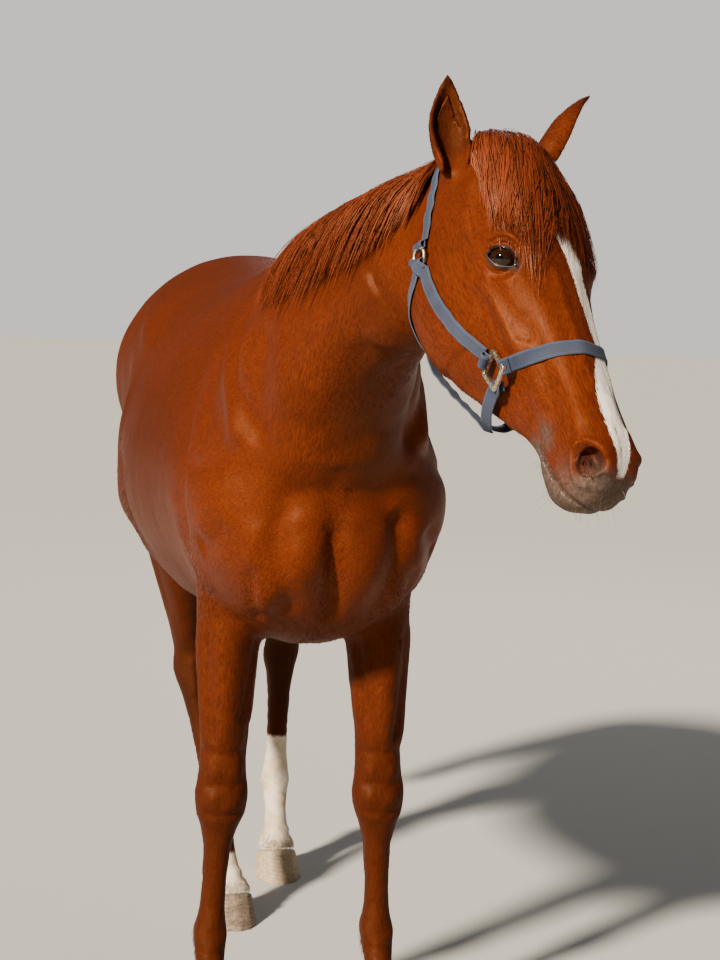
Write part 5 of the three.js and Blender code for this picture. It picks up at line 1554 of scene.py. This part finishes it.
TUFTS = (  # name, where, how many, shortest and longest, half width, lie, how far it stands off, part
    ("throat", under_jaw + 0.5 * throat, 2600, 0.007, 0.012, 0.00030, (0.1, -0.3, -1), 0.03, "head"),
    ("breast", folds, 2400, 0.006, 0.011, 0.00030, (0, 0.15, -1), 0.03, "trunk"),
    ("elbow", elbow + 0.8 * flank, 2600, 0.009, 0.016, 0.00045, (0, 0.6, -0.8), 0.05, "trunk"),
    ("belly", belly + 0.3 * seat, 3400, 0.010, 0.018, 0.00050, (0, 1, -0.18), 0.08, "trunk"),
    ("cannon", behind, 4200, 0.007, 0.013, 0.00040, (0, 0.22, -1), 0.07, "legs"),
    ("fetlock", fetlock, 2400, 0.012, 0.024, 0.00045, (0, 0.45, -1), 0.12, "legs"),
    ("coronet", coronet, 5600, 0.011, 0.019, 0.00042, (0, 0, -1), 0.30, "legs"))
rng = np.random.default_rng(21)
points_normals = normals_of(skin_points, skin_triangles)


def scattered(where, count, rng):
    chance = areas * np.clip(where, 0, None)
    which = rng.choice(len(areas), count, p=chance / chance.sum())
    w = rng.random((count, 3)) + 1e-6
    w /= w.sum(1)[:, None]
    root = (corners[which] * w[..., None]).sum(1)
    out = (points_normals[skin_triangles[which]] * w[..., None]).sum(1)
    return root, out / np.linalg.norm(out, axis=1)[:, None]


def combed_tufts(name, where, count, shortest, longest, half, way, off, part):
    count = count
    root, out = scattered(where, count, rng)
    way = np.broadcast_to(np.asarray(way, float), (count, 3)) + rng.normal(0, 0.10, (count, 3))
    way = way - out * (way * out).sum(1)[:, None]
    way /= np.linalg.norm(way, axis=1)[:, None]
    length = rng.uniform(shortest, longest, count)
    t = np.array([0, 0.4, 0.75, 1.0])
    droop = np.array([0, 0.8, 1.0, 0.6])
    paths = root[:, None] - out[:, None] * 0.0006 + way[:, None] * (length[:, None] * t)[..., None]
    stand = off * length * rng.uniform(0.5, 1.3, count) + 0.0010
    paths = paths + out[:, None] * (stand[:, None] * droop)[..., None]
    made = locks("tufts_" + name, paths, np.repeat(out[:, None], 4, 1), half * rng.uniform(0.7, 1.3, (count, 1))
                 * np.array([0.8, 1.0, 0.7, 0]), np.full((count, 4), 0.00030), part, coat, 30, with_marks=True)


for row in TUFTS:
    combed_tufts(*row)
for word in ("right", "left"):
    low, high = (np.array(corner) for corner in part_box("ear_" + word))
    root_end = from_head([(-86, -20, -86) if word == "right" else (76, -26, -18)])[0]
    tip_end = from_head([(-88, -166, -40) if word == "right" else (146, -138, 62)])[0]
    way = tip_end - root_end
    own = on_ears & (x < middle("forelock")[0] if word == "right" else x > middle("forelock")[0])
    combed_tufts("ear_" + word, own * 1.0, 2600, 0.003, 0.006, 0.00020, way / np.linalg.norm(way), 0.05, "head")

# Whiskers on lips, chin and nostrils, and lashes on the upper lids: single stiff hairs.
whisker_hair = plain("whisker_hair", Base_Color=srgb(120, 96, 82), Roughness=0.4)
near_lips = np.interp(a, [480, 536, 594, 630], [-142, -133, -117, -100])
where = on_face * (bump_at(v, near_lips + 12, 14) * ramp(a, 520, 570)
                   + bump_at(v, near_lips - 16, 18) * ramp(a, 470, 520)
                   + 0.7 * bump_at(a, 600, 16) * bump_at(v, -66, 20))
count = 74
root, out = scattered(where, count, rng)
way = out + rng.normal(0, 0.22, (count, 3)) + np.array([0, 0, -0.25])
way /= np.linalg.norm(way, axis=1)[:, None]
length = rng.uniform(0.008, 0.030, count)
t = np.linspace(0, 1, 6)
paths = root[:, None] + way[:, None] * (length[:, None] * t)[..., None]
paths[..., 2] -= 0.18 * length[:, None] * t[None] ** 2
whisker_taper = 0.00016 * np.tile([1, 1, 0.9, 0.7, 0.5, 0], (count, 1))
whiskers = locks("whiskers", paths, np.repeat(np.cross(way, (0.3, 0.5, 0.8))[:, None], 6, 1), whisker_taper, whisker_taper,
                 "head", whisker_hair, 31)
for side, word in ((-1, "right"), (1, "left")):
    centre, forward, upward, outward = eye_frame(side)
    upper = curve(UPPER_LID, 16)[14:-20]
    pick = upper[rng.integers(0, len(upper), 110)] + rng.normal(0, 0.3, (110, 2))
    off = np.hypot(*pick.T)
    height = lid_height(off) - 1.0
    root = from_head(centre + pick[:, :1] * forward + pick[:, 1:] * upward + height[:, None] * outward)
    axes = from_head([forward * 1000, upward * 1000, outward * 1000]) - poll
    way = (axes[2] * 0.8 + axes[1] * 0.25)[None] + axes[0][None] * (pick[:, :1] / 40) + rng.normal(0, 0.10, (110, 3))
    way /= np.linalg.norm(way, axis=1)[:, None]
    length = rng.uniform(0.009, 0.016, 110)
    t = np.linspace(0, 1, 6)
    paths = root[:, None] + way[:, None] * (length[:, None] * t)[..., None]
    paths -= axes[1][None, None] * (0.45 * length[:, None] * t[None] ** 2)[..., None]
    lash_taper = np.tile([1, 1, 0.9, 0.7, 0.45, 0], (110, 1))
    lashes = locks("lashes_" + word, paths, np.repeat(np.cross(way, axes[0])[:, None], 6, 1),
                   0.00028 * lash_taper, 0.00024 * lash_taper,
                   "head", lash_hair, 32)

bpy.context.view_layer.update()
